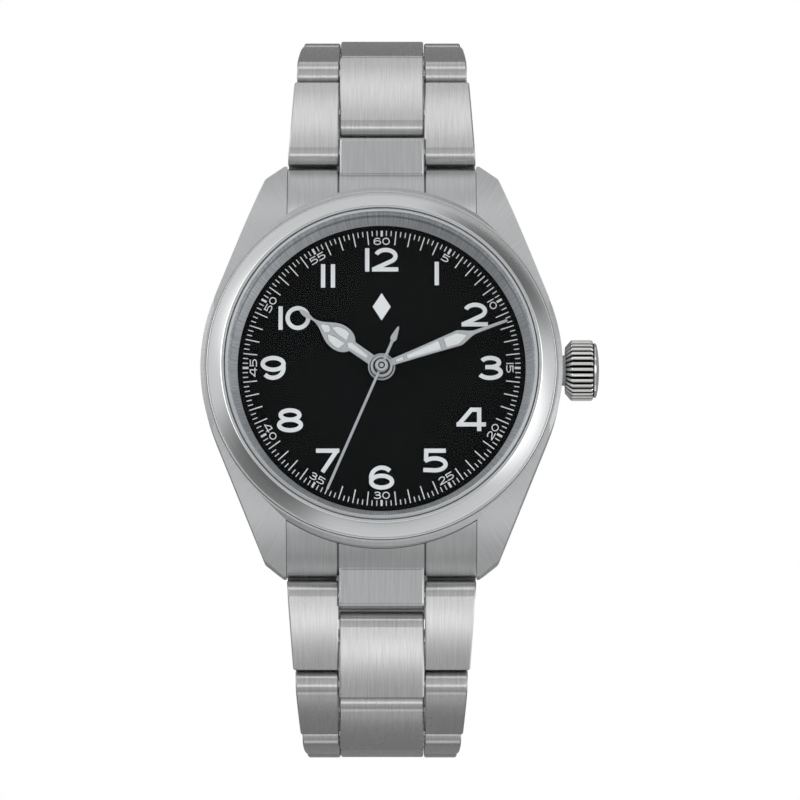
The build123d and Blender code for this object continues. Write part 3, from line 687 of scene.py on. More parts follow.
class Finishes:
    """The watch's materials, each built once, when it is first asked for."""

    recipes = {
        # Satin steel: faint lines out from the dial and wide, soft highlights
        "case": Steel(
            "case_steel_sunray_brushed", BrushPath.SUNRAY, "#C3C4C5", 0.5, 0.07, 5.0, 0.0012
        ),
        # Turned satin: nearly a mirror, with a glow that slides round the cone
        "bezel": Steel(
            "bezel_steel_satin_turned", BrushPath.CIRCULAR, "#D4D5D6", 0.2, 0.1, 30.0, 0.0006, 0.05
        ),
        # Brushed steel: fine streaks down each link and a band of light across
        "bracelet": Steel(
            "bracelet_steel_brushed", BrushPath.ALONG_BRACELET, "#C7C7C7", 0.27, 0.1, 3.5, 0.0025
        ),
        # The same brushing, a little softer, with dark lines of painted shade where the grooves run
        "end_link": Steel(
            "end_link_steel_brushed", BrushPath.ALONG_BRACELET, "#C8C9CA", 0.3, 0.1, 4.0, 0.0025,
            groove_colour="#6A6B6C", groove_mm=(4.48, 4.68),
        ),
        # Longer brush lines on the clasp leaves, as on rolled strip
        "clasp": Steel(
            "clasp_steel_brushed", BrushPath.ALONG_BRACELET, "#CACAC9", 0.3, 0.15, 12.0, 0.003
        ),
        # Polished pins: small bright glints in the pin holes
        "pin": Steel(
            "pin_steel_polished", BrushPath.ALONG_BRACELET, "#D4D4D3", 0.16, 0.1, 2.0, 0.001, 0.05
        ),
        # Polished steel: hard highlights on the ridges, and painted shade that blackens the flutes
        # between them and the ring at the step
        "crown": Steel(
            "crown_steel_polished", BrushPath.ROUND_CROWN, "#E4E4E2", 0.1, 0.1, 4.0, 0.0004, 0.04,
            groove_colour="#161616",
        ),
        # Radially brushed steel: a grey slope that mirrors the black dial near 6 o'clock
        "flange": Steel(
            "flange_steel_radially_brushed", BrushPath.RADIAL, "#E0E1E2", 0.34, 0.16, 3.0, 0.004,
            0.4, 0.66,
        ),
        # Satin hands: grey frames round the pale fillings
        "hand": Steel(
            "hand_steel_satin", BrushPath.ALONG_BRACELET, "#CBCCCD", 0.4, 0.08, 3.0, 0.001,
            0.1, 0.75,
        ),
        # Rhodium plating: pale plates with the circles of the turning tool
        "movement": Steel(
            "movement_plate_rhodium_circular", BrushPath.CIRCULAR, "#B9BBBC", 0.3, 0.3, 6.0, 0.004
        ),
        # Gilt brass: one warm spot in the movement
        "brass": Steel(
            "balance_brass_gilt", BrushPath.CIRCULAR, "#D9B36A", 0.25, 0.15, 4.0, 0.001, 0.08
        ),
        # Coarser turning: rings of light that circle the back
        "back": Steel(
            "back_steel_turned", BrushPath.CIRCULAR, "#CBCBCA", 0.26, 0.2, 25.0, 0.002, 0.1
        ),
        # Matt lacquer: deep black with almost no reflection
        "dial": Coating("dial_lacquer_matt_black", "#0A0B0C", "#070808", 0.7, 0.04, 0.08, 0.001),
        # Printing ink: flat white with a faint grain
        "print": Coating("dial_print_white_ink", "#F3F4F3", "#E9EAE9", 0.6, 0.2, 0.1, 0.001),
        # Luminous filling: chalky white, rougher than the print
        "lume": Coating("lume_white_filling", "#EEEFED", "#DADCD9", 0.75, 0.2, 0.09, 0.006),
        # Painted shade: dark rings in the gaps between the hubs and round the seconds pinion
        "pinion": Coating("hub_gaps_painted_shade", "#1A1A1A", "#101010", 0.5, 0.3),
        # Painted shade: a dim line where two parts meet, on the ring at the bezel's foot and on the
        # end links' lips
        "recess": Coating("seam_steel_painted_shade", "#6C6D6E", "#565758", 0.6, 0.3),
        # Ground sapphire: a frosted grey ring round the clear disc
        "glass_edge": Coating("sapphire_edge_ground", "#B6B9BB", "#A0A4A6", 0.3, 0.5, 0.5, 0.001),
        # Moulded nylon: a thin grey line inside the bezel
        "gasket": Coating("gasket_nylon_moulded", "#6F7578", "#5E6366", 0.5, 0.4, 0.2),
        # Black rubber: no shine at all
        "rubber": Coating("gasket_rubber_black", "#1B1B1C", "#111112", 0.7, 0.3, 0.2),
        # Moulded plastic: warm off-white with a soft sheen
        "holder": Coating("holder_plastic_moulded", "#D9D7D0", "#CAC8C1", 0.55, 0.4, 0.25),
        # Coated sapphire: clear from above, with a gloss only at a low angle
        "sapphire": Sapphire("sapphire_coated"),
    }

    def __init__(self) -> None:
        """Start with no material built."""
        self.made: dict[str, bpy.types.Material] = {}

    def get(self, key: str) -> bpy.types.Material:
        """Return the material of that key, and build it if it isn't there yet."""
        if key not in self.made:
            self.made[key] = self.recipes[key].material()
        return self.made[key]


# Sub-assemblies
@dataclass
class SubAssembly(ABC):
    """One sub-assembly of the watch, with what it needs to dress it."""

    frame: dict
    finishes: Finishes

    @abstractmethod
    def build(self) -> list[bpy.types.Object]:
        """Build and dress the sub-assembly, and return its new pieces."""

    def dress(self, key: str, *nodes: str) -> None:
        """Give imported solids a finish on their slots.

        Args:
            key: name of the finish.
            nodes: names of the nodes.
        """
        for node in nodes:
            for held in self.frame["nodes"][node].material_slots:
                held.material = self.finishes.get(key)

    def add(
        self,
        name: str,
        shape: Shape,
        key: str,
        body: str,
        slot: str,
        stands_for: tuple[str, ...] = (),
    ) -> bpy.types.Object:
        """Make a piece, fix it to the body that it rides on, and hide the nodes that it stands for.

        Args:
            name: name of the piece.
            shape: its points and faces.
            key: name of its finish.
            body: body that it moves with.
            slot: material slot of the record; not used.
            stands_for: nodes that it replaces.

        Returns:
            The piece.
        """
        piece = to_object(name, shape[0], shape[1], self.finishes.get(key))
        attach(piece, body)
        if stands_for:
            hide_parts(*stands_for)
        return piece


@dataclass(frozen=True)
class Glyphs:
    """Plain wide numerals drawn as strokes in a box one high, with the baseline at zero.

    Attributes:
        stroke_share: width of a stroke as a share of the height.
    """

    stroke_share: float = 0.18
    widths = {
        "0": 1.05, "1": 0.18, "2": 1.11, "3": 1.09, "4": 1.27,
        "5": 1.05, "6": 1.07, "7": 0.98, "8": 1.10, "9": 1.07,
    }
    # Degrees between the points of an arc, and where a ring ends, one step before it closes
    arc_step = 9
    ring_end = 351
    gap = 0.115
    gap_between_ones = 0.236
    # Strokes that cross lie this much above one another, in millimetres, as coats of ink do
    layer_step = 0.003

    @staticmethod
    def arc(x: float, y: float, wide: float, high: float, start: float, end: float) -> np.ndarray:
        """Points of an arc: the middle plus the half sizes times the cosine and sine of a turn.

        Args:
            x: middle, across.
            y: middle, up.
            wide: half width.
            high: half height.
            start: first turn in degrees.
            end: last turn in degrees.

        Returns:
            Rows of x and y.
        """
        turn = np.radians(np.linspace(start, end, max(6, int(abs(end - start) / Glyphs.arc_step))))
        return np.column_stack([x + wide * np.cos(turn), y + high * np.sin(turn)])

    def lines(self, digit: str) -> list[tuple[np.ndarray, bool]]:
        """Middle lines of a numeral's strokes, and whether each joins up.

        Args:
            digit: one of the ten digits.

        Returns:
            The lines.
        """
        arc, edge, ring = self.arc, self.stroke_share / 2, self.ring_end
        if digit == "0":
            return [(arc(0.525, 0.5, 0.435, 0.42, 0, ring), True)]
        if digit == "1":
            return [(np.array([[edge, 0.0], [edge, 1.0]]), False)]
        if digit == "2":
            bowl = arc(0.58, 0.66, 0.41, 0.265, 163, -55)
            foot = np.array([[0.10, 0.109]])
            base = np.array([[0.0, edge], [1.11, edge]])
            return [(np.vstack([bowl, foot]), False), (base, False)]
        if digit == "3":
            upper = arc(0.55, 0.73, 0.37, 0.195, 158, -90)
            bar = np.array([[0.34, 0.535], [0.60, 0.535]])
            lower = arc(0.54, 0.305, 0.455, 0.23, 90, -157)
            return [(upper, False), (bar, False), (lower, False)]
        if digit == "4":
            stem = np.array([[0.955, 0.0], [0.955, 1.0]])
            bar = np.array([[0.0, 0.285], [1.24, 0.285]])
            slope = np.array([[0.66, 0.95], [0.08, 0.27]])
            top = np.array([[0.60, 0.91], [1.0, 0.91]])
            return [(stem, False), (bar, False), (slope, False), (top, False)]
        if digit == "5":
            top = np.array([[0.05, 0.91], [0.96, 0.91]])
            stem = np.array([[0.14, 0.98], [0.125, 0.47]])
            bowl = arc(0.49, 0.33, 0.46, 0.255, 133, -90)
            start, foot = np.array([[0.08, 0.475]]), np.array([[0.01, 0.095]])
            return [(top, False), (stem, False), (np.vstack([start, bowl, foot]), False)]
        if digit in "69":
            bowl = arc(0.535, 0.325, 0.44, 0.25, 0, ring)
            back = arc(0.545, 0.50, 0.45, 0.42, 42, 190)
            pair = [(bowl, True), (back, False)]
            if digit == "6":
                return pair
            return [(np.array([1.07, 1.0]) - line, closed) for line, closed in pair]
        if digit == "7":
            bar = np.array([[0.0, 0.91], [0.98, 0.91]])
            return [(bar, False), (np.array([[0.88, 0.92], [0.27, 0.0]]), False)]
        upper = arc(0.55, 0.725, 0.395, 0.20, 0, ring)
        lower = arc(0.55, 0.30, 0.46, 0.225, 0, ring)
        return [(upper, True), (lower, True)]

    def number(
        self,
        text: str,
        height: float,
        place: np.ndarray,
        turn: float,
        low: float,
        high: float,
    ) -> list[Shape]:
        """Strokes of a number, centred at a place on the dial.

        Args:
            text: the number.
            height: height of its digits.
            place: middle of the number on the dial.
            turn: its turn in degrees.
            low: height of the print's foot.
            high: height of its face.

        Returns:
            Points and faces of each stroke.
        """
        gap = self.gap_between_ones if text == "11" else self.gap
        starts, at = [], 0.0
        for digit in text:
            starts.append(at)
            at += self.widths[digit] + gap
        middle = np.array([(at - gap) / 2, 0.5])
        half = self.stroke_share * height / 2
        parts = []
        for digit, start in zip(text, starts):
            for layer, (line, closed) in enumerate(self.lines(digit)):
                flat = turned((line + [start, 0] - middle) * height, turn) + place
                face = high + layer * self.layer_step
                parts.append(stroke(flat, half, low, face, closed))
        return parts


@dataclass
class Dial(SubAssembly):
    """Black dial with white print: hour numerals, a minute track and its numbers."""

    face: float = 7.2
    ink: float = 0.02
    numeral_height: float = 2.49
    number_height: float = 0.78
    number_stroke: float = 0.13
    number_radius: float = 13.48
    track_radius: float = 14.6
    tick_length: float = 0.55
    minute_length: float = 1.45
    thick_length: float = 0.62
    tick_width: float = 0.1
    minute_width: float = 0.11
    thick_width: float = 0.24
    ticks: int = 180
    pip_radius: float = 6.5
    pip_half_height: float = 1.45
    pip_half_width: float = 0.95
    hour_radii: dict = field(
        default_factory=lambda: {
            1: 11.6, 2: 11.3, 3: 11.4, 4: 10.9, 5: 11.3, 6: 11.6,
            7: 11.3, 8: 11.1, 9: 11.4, 10: 10.6, 11: 11.3, 12: 11.5,
        }
    )

    def track(self) -> Shape:
        """Boxes of the minute track, one every third of a minute.

        A tick at turn t runs from its inner radius to the track's radius. Every third is a
        minute and longer, and every fifteenth is a short, thick five-minute mark.

        Returns:
            Points and faces.
        """
        number = np.arange(self.ticks)
        turn = math.pi / 2 - number * TURN / self.ticks
        thick, minute = number % 15 == 0, number % 3 == 0
        kinds = [thick, minute]
        length = np.select(kinds, [self.thick_length, self.minute_length], self.tick_length)
        width = np.select(kinds, [self.thick_width, self.minute_width], self.tick_width)
        out = np.stack([np.cos(turn), np.sin(turn)], axis=1)[:, None]
        side = np.stack([-np.sin(turn), np.cos(turn)], axis=1)[:, None]
        along = np.array([0, 0, 1, 1])[None, :, None]
        across = np.array([-1, 1, 1, -1])[None, :, None]
        radius = self.track_radius - along * length[:, None, None]
        flat = out * radius + side * across * width[:, None, None] / 2
        level = np.repeat([self.face, self.face + self.ink], 4)[None, :, None]
        level = np.broadcast_to(level, (self.ticks, 8, 1))
        points = np.concatenate([np.tile(flat, (1, 2, 1)), level], axis=2).reshape(-1, 3)
        box = np.array(
            [[0, 1, 2, 3], [7, 6, 5, 4], [0, 4, 5, 1], [1, 5, 6, 2], [2, 6, 7, 3], [3, 7, 4, 0]]
        )
        return points, [(number[:, None, None] * 8 + box).reshape(-1, 4)]

    def build(self) -> list[bpy.types.Object]:
        """Dress the dial and lay its print on it."""
        self.dress("dial", "dial")
        glyphs, fine_glyphs = Glyphs(), Glyphs(self.number_stroke)
        low, high = self.face, self.face + self.ink
        hours, numbers = [], []
        for hour, radius in self.hour_radii.items():
            degrees = 30 * hour
            turn = math.radians(90 - degrees)
            out = np.array([math.cos(turn), math.sin(turn)])
            hours += glyphs.number(str(hour), self.numeral_height, radius * out, 0, low, high)
            # The numbers of the lower half stand the other way up
            spin = -degrees + (180 if 90 < degrees < 270 else 0)
            minute, place = str(5 * hour), self.number_radius * out
            numbers += fine_glyphs.number(minute, self.number_height, place, spin, low, high)
        pip = np.array([[0, -1], [1, 0], [0, 1], [-1, 0]], float)
        pip = pip * [self.pip_half_width, self.pip_half_height] + [0, self.pip_radius]
        shapes = {
            "dial_hour_numerals": merged(hours),
            "dial_minute_numbers": merged(numbers),
            "dial_minute_track": self.track(),
            "dial_lozenge": domed_tile(pip, low, high, self.ink),
        }
        return [
            self.add(name, shape, "print", "head", "dial_black") for name, shape in shapes.items()
        ]


@dataclass
class Hands(SubAssembly):
    """Hour, minute and seconds hands with their hubs and luminous fillings."""

    hour_length: float = 10.6
    hour_half: float = 1.36
    hour_turn: float = -305.0
    hour_level: float = 7.9
    minute_length: float = 14.1
    minute_half: float = 0.82
    minute_turn: float = -69.8
    minute_level: float = 8.5
    thickness: float = 0.2
    seconds_top: float = 9.4
    recess: float = 0.05
    edge: float = 0.04
    crown: float = 0.035
    corner: float = 0.05
    soft_share: float = 0.6
    segments: int = 96

    hour_cells = (
        ((0.17, -0.12), (0.39, -0.26), (0.42, 0.0), (0.39, 0.26), (0.17, 0.12)),
        ((0.43, 0.12), (0.55, 0.12), (0.63, 0.30), (0.59, 0.64), (0.51, 0.82), (0.45, 0.72)),
        ((0.43, -0.12), (0.45, -0.72), (0.51, -0.82), (0.59, -0.64), (0.63, -0.30), (0.55, -0.12)),
        ((0.62, -0.10), (0.665, -0.36), (0.735, -0.10), (0.735, 0.10), (0.665, 0.36), (0.62, 0.10)),
    )
    minute_cells = (
        ((0.11, -0.18), (0.175, -0.24), (0.175, 0.24), (0.11, 0.18)),
        ((0.20, -0.24), (0.465, -0.58), (0.465, 0.58), (0.20, 0.24)),
        ((0.50, -0.62), (0.605, -0.76), (0.68, 0.0), (0.605, 0.76), (0.50, 0.62)),
    )
    # Name, finish, outer and inner radius and rise of each ring on a hub; the rings in the pinion
    # finish are painted shade
    hub_rings = (
        ("hour_hub_collar", "hand", 1.42, 1.25, 0.12),
        ("hour_hub_gap", "pinion", 1.26, 1.16, 0.02),
        ("minute_hub_collar", "hand", 1.15, 0.86, 0.12),
        ("minute_hub_gap", "pinion", 0.87, 0.7, 0.02),
        ("seconds_hub_cap", "hand", 0.64, 0.36, 0.08),
        ("seconds_pinion", "pinion", 0.37, 0.22, 0.02),
    )

    def filling(self, cells: tuple, length: float, half: float, turn: float, level: float) -> Shape:
        """Domed fillings of a hand's openings, a little smaller than the openings.

        Args:
            cells: openings as shares of the length and of the half width.
            length: length of the hand.
            half: its half width.
            turn: its turn in degrees.
            level: height of its foot.

        Returns:
            Points and faces.
        """
        tiles = []
        for cell in cells:
            flat = np.array([(half * across, length * along) for along, across in cell])
            middle = flat.mean(axis=0)
            reach = np.linalg.norm(flat - middle, axis=1, keepdims=True)
            flat = middle + (flat - middle) * (1 - self.edge / reach)
            outline = turned(rounded([(x, y, self.corner) for x, y in flat], 4), turn)
            if self.area(outline) < 0:
                outline = outline[::-1]
            top = level + self.thickness - self.recess
            tiles.append(domed_tile(outline, level, top, self.crown))
        return merged(tiles)

    @staticmethod
    def area(outline: np.ndarray) -> float:
        """Signed area of an outline; positive is anticlockwise."""
        x, y = outline[:, 0], outline[:, 1]
        return float((x * np.roll(y, -1) - np.roll(x, -1) * y).sum() / 2)

    def collar(self, outer: float, inner: float, low: float, rise: float) -> Shape:
        """Rounded collar of a hub, spun from a profile with a soft upper edge.

        Args:
            outer: outer radius.
            inner: inner radius.
            low: height of its foot.
            rise: its height.

        Returns:
            Points and faces.
        """
        soft, top = min(rise, (outer - inner) / 2) * self.soft_share, low + rise
        corners = [(inner, low, 0), (outer, low, 0), (outer, top, soft), (inner, top, soft)]
        return spun(rounded(corners), self.segments)

    def build(self) -> list[bpy.types.Object]:
        """Dress the hands, fill their openings and stack the hub collars."""
        self.dress("hand", "hour_hand", "minute_hand", "seconds_hand")
        hour = (self.hour_cells, self.hour_length, self.hour_half, self.hour_turn, self.hour_level)
        minute = (
            self.minute_cells,
            self.minute_length,
            self.minute_half,
            self.minute_turn,
            self.minute_level,
        )
        pieces = []
        for hand, sizes in (("hour", hour), ("minute", minute)):
            name, body, node = f"{hand}_lume_filling", f"{hand}_hand_body", f"{hand}_lume"
            pieces.append(self.add(name, self.filling(*sizes), "lume", body, "lume", (node,)))
        tops = {
            "hour": self.hour_level + self.thickness,
            "minute": self.minute_level + self.thickness,
            "seconds": self.seconds_top,
        }
        for name, key, outer, inner, rise in self.hub_rings:
            hand = name.split("_")[0]
            ring = self.collar(outer, inner, tops[hand], rise)
            pieces.append(self.add(name, ring, key, f"{hand}_hand_body", "hand_steel"))
        return pieces


@dataclass
class Head(SubAssembly):
    """Case, bezel, glass, flange ring, back and movement."""

    segments: int = 360
    case_top: float = 9.0
    bezel_radius: float = 18.34
    bezel_inner: float = 16.5
    bezel_top: float = 10.95
    seam_height: float = 0.07
    seam_depth: float = 0.12
    seam_width: float = 0.07
    seam_rise: float = 0.01
    wall_height: float = 0.35
    bezel_step: float = 0.6
    bezel_flat: float = 0.3
    ledge_height: float = 0.28
    ledge_width: float = 0.14
    glass_radius: float = 16.35
    glass_low: float = 9.6
    glass_high: float = 11.2
    glass_bevel: float = 0.3
    glass_skin: float = 0.02
    disc_start: float = 0.01
    disc_thickness: float = 0.03
    flange_low: float = 15.14
    flange_high: float = 15.89
    flange_outer: float = 16.4
    flange_rise: float = 0.82
    dial_top: float = 7.2

    def bezel(self) -> np.ndarray:
        """Bezel profile: a seam at its foot, a ledge, a wall, a cone and a narrow flat top.

        Returns:
            Rows of radius and height.
        """
        ledge, neck = self.case_top + self.ledge_height, self.bezel_radius - self.ledge_width
        wall_top = self.case_top + self.wall_height + self.ledge_width
        seam, seam_top = self.bezel_radius - self.seam_depth, self.case_top + self.seam_height
        return rounded(
            [
                (self.bezel_inner, self.case_top + self.bezel_step, 0.0),
                (seam, self.case_top, 0.0),
                (seam, seam_top, 0.0),
                (self.bezel_radius, seam_top, 0.02),
                (self.bezel_radius, ledge, 0.06),
                (neck, ledge, 0.0),
                (neck, wall_top, 0.1),
                (self.bezel_inner + self.bezel_flat, self.bezel_top, 0.1),
                (self.bezel_inner, self.bezel_top, 0.03),
            ]
        )

    def profiles(self) -> dict[str, np.ndarray]:
        """Profiles of the other rings and of the clear disc.

        Returns:
            Rows of radius and height, by name of the piece.
        """
        skin, radius = self.glass_skin, self.glass_radius
        shoulder, top = radius - self.glass_bevel, self.glass_high
        seam_in, seam_out = self.bezel_radius - self.seam_depth, self.bezel_radius + self.seam_width
        seam_low, seam_high = self.case_top, self.case_top + self.seam_rise
        disc_end, disc_low = shoulder - self.disc_thickness, top - self.disc_thickness
        corners = {
            # Painted shadow: a thin dark ring on the case round the bezel's foot, where the seam
            # lies in shade
            "bezel_seam_painted_shadow": [
                (seam_in, seam_low), (seam_out, seam_low), (seam_out, seam_high),
                (seam_in, seam_high),
            ],
            "glass_disc": [
                (self.disc_start, disc_low), (disc_end, disc_low), (disc_end, top),
                (self.disc_start, top),
            ],
            "glass_edge": [
                (shoulder - skin, top - skin), (radius - skin, self.glass_low),
                (radius, self.glass_low), (radius, top - self.glass_bevel), (shoulder, top),
            ],
            "flange_slope": [
                (self.flange_low, self.dial_top), (self.flange_outer, self.dial_top),
                (self.flange_outer, self.glass_low), (self.flange_high, self.glass_low),
                (self.flange_high, self.dial_top + self.flange_rise),
            ],
        }
        return {name: np.array(rows) for name, rows in corners.items()}

    def build(self) -> list[bpy.types.Object]:
        """Dress the case parts and spin the bezel, glass and flange ring."""
        self.dress("case", "case_middle", "crown_tube")
        self.dress("back", "caseback")
        self.dress("rubber", "caseback_gasket")
        self.dress("gasket", "crystal_gasket")
        self.dress("holder", "movement_holder")
        self.dress("pin", "spring_bars", "winding_stem")
        self.dress("movement", "main_plate", "train_bridge", "rotor")
        self.dress("brass", "balance_wheel")
        profiles = {"bezel_ring": self.bezel(), **self.profiles()}
        pieces = (
            ("bezel_ring", "bezel", "bezel_steel", ("bezel",)),
            # The ring at the bezel's foot takes the recess finish, a painted shadow
            ("bezel_seam_painted_shadow", "recess", "bezel_steel", ()),
            ("glass_disc", "sapphire", "sapphire", ()),
            ("glass_edge", "glass_edge", "sapphire", ("crystal",)),
            ("flange_slope", "flange", "flange_steel", ("rehaut_ring",)),
        )
        return [
            self.add(name, spun(profiles[name], self.segments), key, "head", slot, stands_for)
            for name, key, slot, stands_for in pieces
        ]


@dataclass
class Crown(SubAssembly):
    """Fluted winding crown with a domed, polished end."""

    axis_height: float = 5.2
    start: float = 19.3
    end: float = 22.9
    radius: float = 3.2
    flutes: int = 32
    per_flute: int = 14
    flute_depth: float = 0.26
    ring_place: float = 2.96
    ring_half: float = 0.05
    ring_shade: float = 0.8
    shade_gain: float = 2.6
    shade_start: float = 0.4

    def profile(self) -> np.ndarray:
        """Rows of place along the axis, radius and share of the flutes' full depth."""
        radius = self.radius
        return np.array(
            [
                (0.0, 0.5, 0.0), (0.0, radius - 1.0, 0.3), (0.02, radius - 0.75, 0.6),
                (0.55, radius - 0.12, 0.9), (0.72, radius, 1.0), (0.9, radius, 1.0),
                (2.6, radius, 1.0), (2.82, radius - 0.03, 1.0), (2.92, radius - 0.14, 0.4),
                (2.94, radius - 0.3, 0.0), (2.98, radius - 0.4, 0.0), (3.06, radius - 0.3, 0.0),
                (3.22, radius - 0.34, 0.0), (3.34, radius - 0.5, 0.0), (3.38, radius - 0.75, 0.0),
                (3.46, radius - 1.1, 0.0), (3.54, radius - 1.8, 0.0), (3.59, radius - 2.6, 0.0),
                (3.6, 0.02, 0.0),
            ]
        )

    def wave(self) -> np.ndarray:
        """Depth of the flutes round the crown: half of one plus cosine, squared."""
        turn = np.linspace(0, TURN, self.flutes * self.per_flute, endpoint=False)[None, :]
        return ((1 + np.cos(self.flutes * turn)) / 2) ** 2

    def grip(self) -> Shape:
        """Grip surface with its flutes.

        At place x and turn t the radius is the profile's radius less the flute depth times the
        profile's share and the wave at t.

        Returns:
            Points and faces.
        """
        table, count = self.profile(), self.flutes * self.per_flute
        turn = np.linspace(0, TURN, count, endpoint=False)[None, :]
        distance = table[:, 1:2] - self.flute_depth * table[:, 2:3] * self.wave()
        x = self.start + table[:, 0:1] + 0 * turn
        points = np.stack(
            [x, distance * np.cos(turn), self.axis_height + distance * np.sin(turn)], axis=-1
        ).reshape(-1, 3)
        quads = grid_faces(len(table), count, False, True)
        last = (len(table) - 1) * count + np.arange(count)
        return points, [quads, last[None, :], np.arange(count)[::-1][None, :]]

    def build(self) -> list[bpy.types.Object]:
        """Replace the plain crown with the fluted one, and store at each point its share of painted
        shade.
        """
        shape = self.grip()
        grip = self.add("crown_grip", shape, "crown", "crown_body", "crown_steel", ("crown",))
        # Painted shade: dark in the depth of the flutes and in the ring at the step before the
        # domed end
        place, _, share = self.profile().T[:, :, None]
        ring = (np.abs(place - self.ring_place) < self.ring_half).astype(float)
        shade = np.clip(self.shade_gain * share * self.wave() - self.shade_start, 0, 1)
        depth = np.maximum(shade, self.ring_shade * ring)
        held = grip.data.attributes.new(GROOVE_SHADE, "FLOAT", "POINT")
        held.data.foreach_set("value", depth.ravel().astype(np.float32))
        return [grip]


@dataclass
class Bracelet(SubAssembly):
    """End links, fourteen links with their pins, and the clasp.

    A thin lip under each end link closes the gap to the first link, as seen from above; its dark
    finish is painted shade in that gap.
    """

    links: int = 7
    lip_start: float = 20.2
    lip_end: float = 22.55
    lip_low: float = 2.02
    lip_high: float = 2.22
    lip_front: float = 21.97
    lip_back: float = 21.45
    lip_top: float = 3.15
    lip_near: float = 4.8
    lip_far: float = 9.9
    lip_bevel: float = 0.06
    lip_run: float = 0.25
    lip_fall: float = 0.55
    tongue_start: float = 20.98
    tongue_end: float = 24.72
    tongue_half: float = 4.4
    tongue_low: float = 5.1
    tongue_edge: float = 0.09
    tongue_rise: float = 0.22
    tongue_bevel: float = 0.13
    tongue_corner: float = 0.12

    def lip(self, side: int) -> Shape:
        """Two bevelled strips under an end link's nose, one each side of its tongue.

        Args:
            side: one at 12 o'clock and minus one at 6 o'clock.

        Returns:
            Points and faces.
        """
        bevel = self.lip_bevel
        section = rounded(
            [
                (self.lip_start, self.lip_low, 0),
                (self.lip_end, self.lip_low, bevel),
                (self.lip_end, self.lip_high, bevel),
                (self.lip_front, self.lip_high + bevel, bevel),
                (self.lip_front, self.lip_top, bevel),
                (self.lip_back, self.lip_top, 0),
                (self.lip_back - self.lip_run, self.lip_top - self.lip_fall, 0),
                (self.lip_start, self.lip_high, 0),
            ],
            4,
        )
        count = len(section)
        ends = np.array([[self.lip_near, self.lip_far], [-self.lip_far, -self.lip_near]])
        x = np.repeat(ends.ravel(), count)
        y, z = np.tile(section[:, 0] * side, 4), np.tile(section[:, 1], 4)
        quads = grid_faces(2, count, False, True)
        caps = np.array([np.arange(count)[::-1], np.arange(count) + count])
        blocks = [quads, caps, quads + 2 * count, caps + 2 * count]
        if side < 0:
            blocks = [block[:, ::-1] for block in blocks]
        return np.column_stack([x, y, z]), blocks

    def tongue_face(self, side: int) -> Shape:
        """Bevelled plate on an end link's tongue: three rings of a rectangle, and its middle.

        Args:
            side: one at 12 o'clock and minus one at 6 o'clock.

        Returns:
            Points and faces.
        """
        middle = (self.tongue_start + self.tongue_end) / 2
        half = np.array([self.tongue_half, (self.tongue_end - self.tongue_start) / 2])
        signs = np.array([[-1, -1], [1, -1], [1, 1], [-1, 1]])
        corners = rounded([(x, y, self.tongue_corner) for x, y in signs * half], 4)
        inset = np.array([0.0, 0.0, 1.0]) * self.tongue_bevel
        rings = corners[None] * (1 - inset[:, None, None] / half)
        level = self.tongue_low + np.array([0.0, self.tongue_edge, self.tongue_rise])
        count = len(corners)
        flat = rings.reshape(-1, 2)
        z = np.repeat(level, count)
        points = np.column_stack([flat[:, 0], side * (flat[:, 1] + middle), z])
        top, foot = np.arange(count) + 2 * count, np.arange(count)[::-1]
        blocks = [grid_faces(3, count, False, True), top[None, :], foot[None, :]]
        if side < 0:
            blocks = [block[:, ::-1] for block in blocks]
        return points, blocks

    def build(self) -> list[bpy.types.Object]:
        """Dress the bracelet's solids and add the lips and the tongues' faces."""
        sides = (("12", 1), ("6", -1))
        for name, _ in sides:
            self.dress("end_link", f"end_link_{name}")
            for number in range(1, self.links + 1):
                self.dress("bracelet", f"link_{name}_{number}")
                self.dress("pin", f"link_{name}_{number}_pins")
        self.dress("clasp", "clasp_blade_inner", "clasp_blade_outer", "clasp_cover")
        self.dress("pin", "clasp_pin_back", "clasp_pin_front", "clasp_bar")
        self.dress("pin", "push_button_right", "push_button_left")
        # The lips take the recess finish: painted shade in the gap under each end link
        kinds = (("lip", self.lip, "recess"), ("tongue_face", self.tongue_face, "end_link"))
        return [
            self.add(f"end_link_{name}_{kind}", shape(side), key, "head", "bracelet_steel")
            for kind, shape, key in kinds
            for name, side in sides
        ]


@dataclass(frozen=True)
class SoftBox:
    """Patch of light in the tent; a strength below zero makes it a flag.

    Attributes:
        toward: direction of its middle.
        half_angle: angle from its middle to its edge, in degrees.
        feather: angle over which the edge fades, each way.
        strength: light that it adds.
        stretch: how many times wider it is along X.
    """

    toward: tuple[float, float, float]
    half_angle: float
    feather: float
    strength: float
    stretch: float = 1.0

    def light(self, nodes: Nodes, place: Socket) -> Socket:
        """Work out its light in each direction.

        The light rises smoothly as the cosine of the angle from the middle goes from that of the
        outer edge to that of the inner edge.

        Args:
            nodes: nodes of the tent's material.
            place: direction of the ray.

        Returns:
            The light.
        """
        squeezed = nodes.vector_math("MULTIPLY", "Vector", place, (1 / self.stretch, 1, 1))
        unit = nodes.vector_math("NORMALIZE", "Vector", squeezed)
        middle = Vector(self.toward)
        middle.x /= self.stretch
        cosine = nodes.vector_math("DOT_PRODUCT", "Value", unit, middle.normalized())
        edges = (self.half_angle + self.feather, max(self.half_angle - self.feather, 0))
        start, end = [math.cos(math.radians(angle)) for angle in edges]
        return nodes.spread(
            cosine, 0.0, self.strength, start, end, interpolation_type="SMOOTHSTEP"
        )


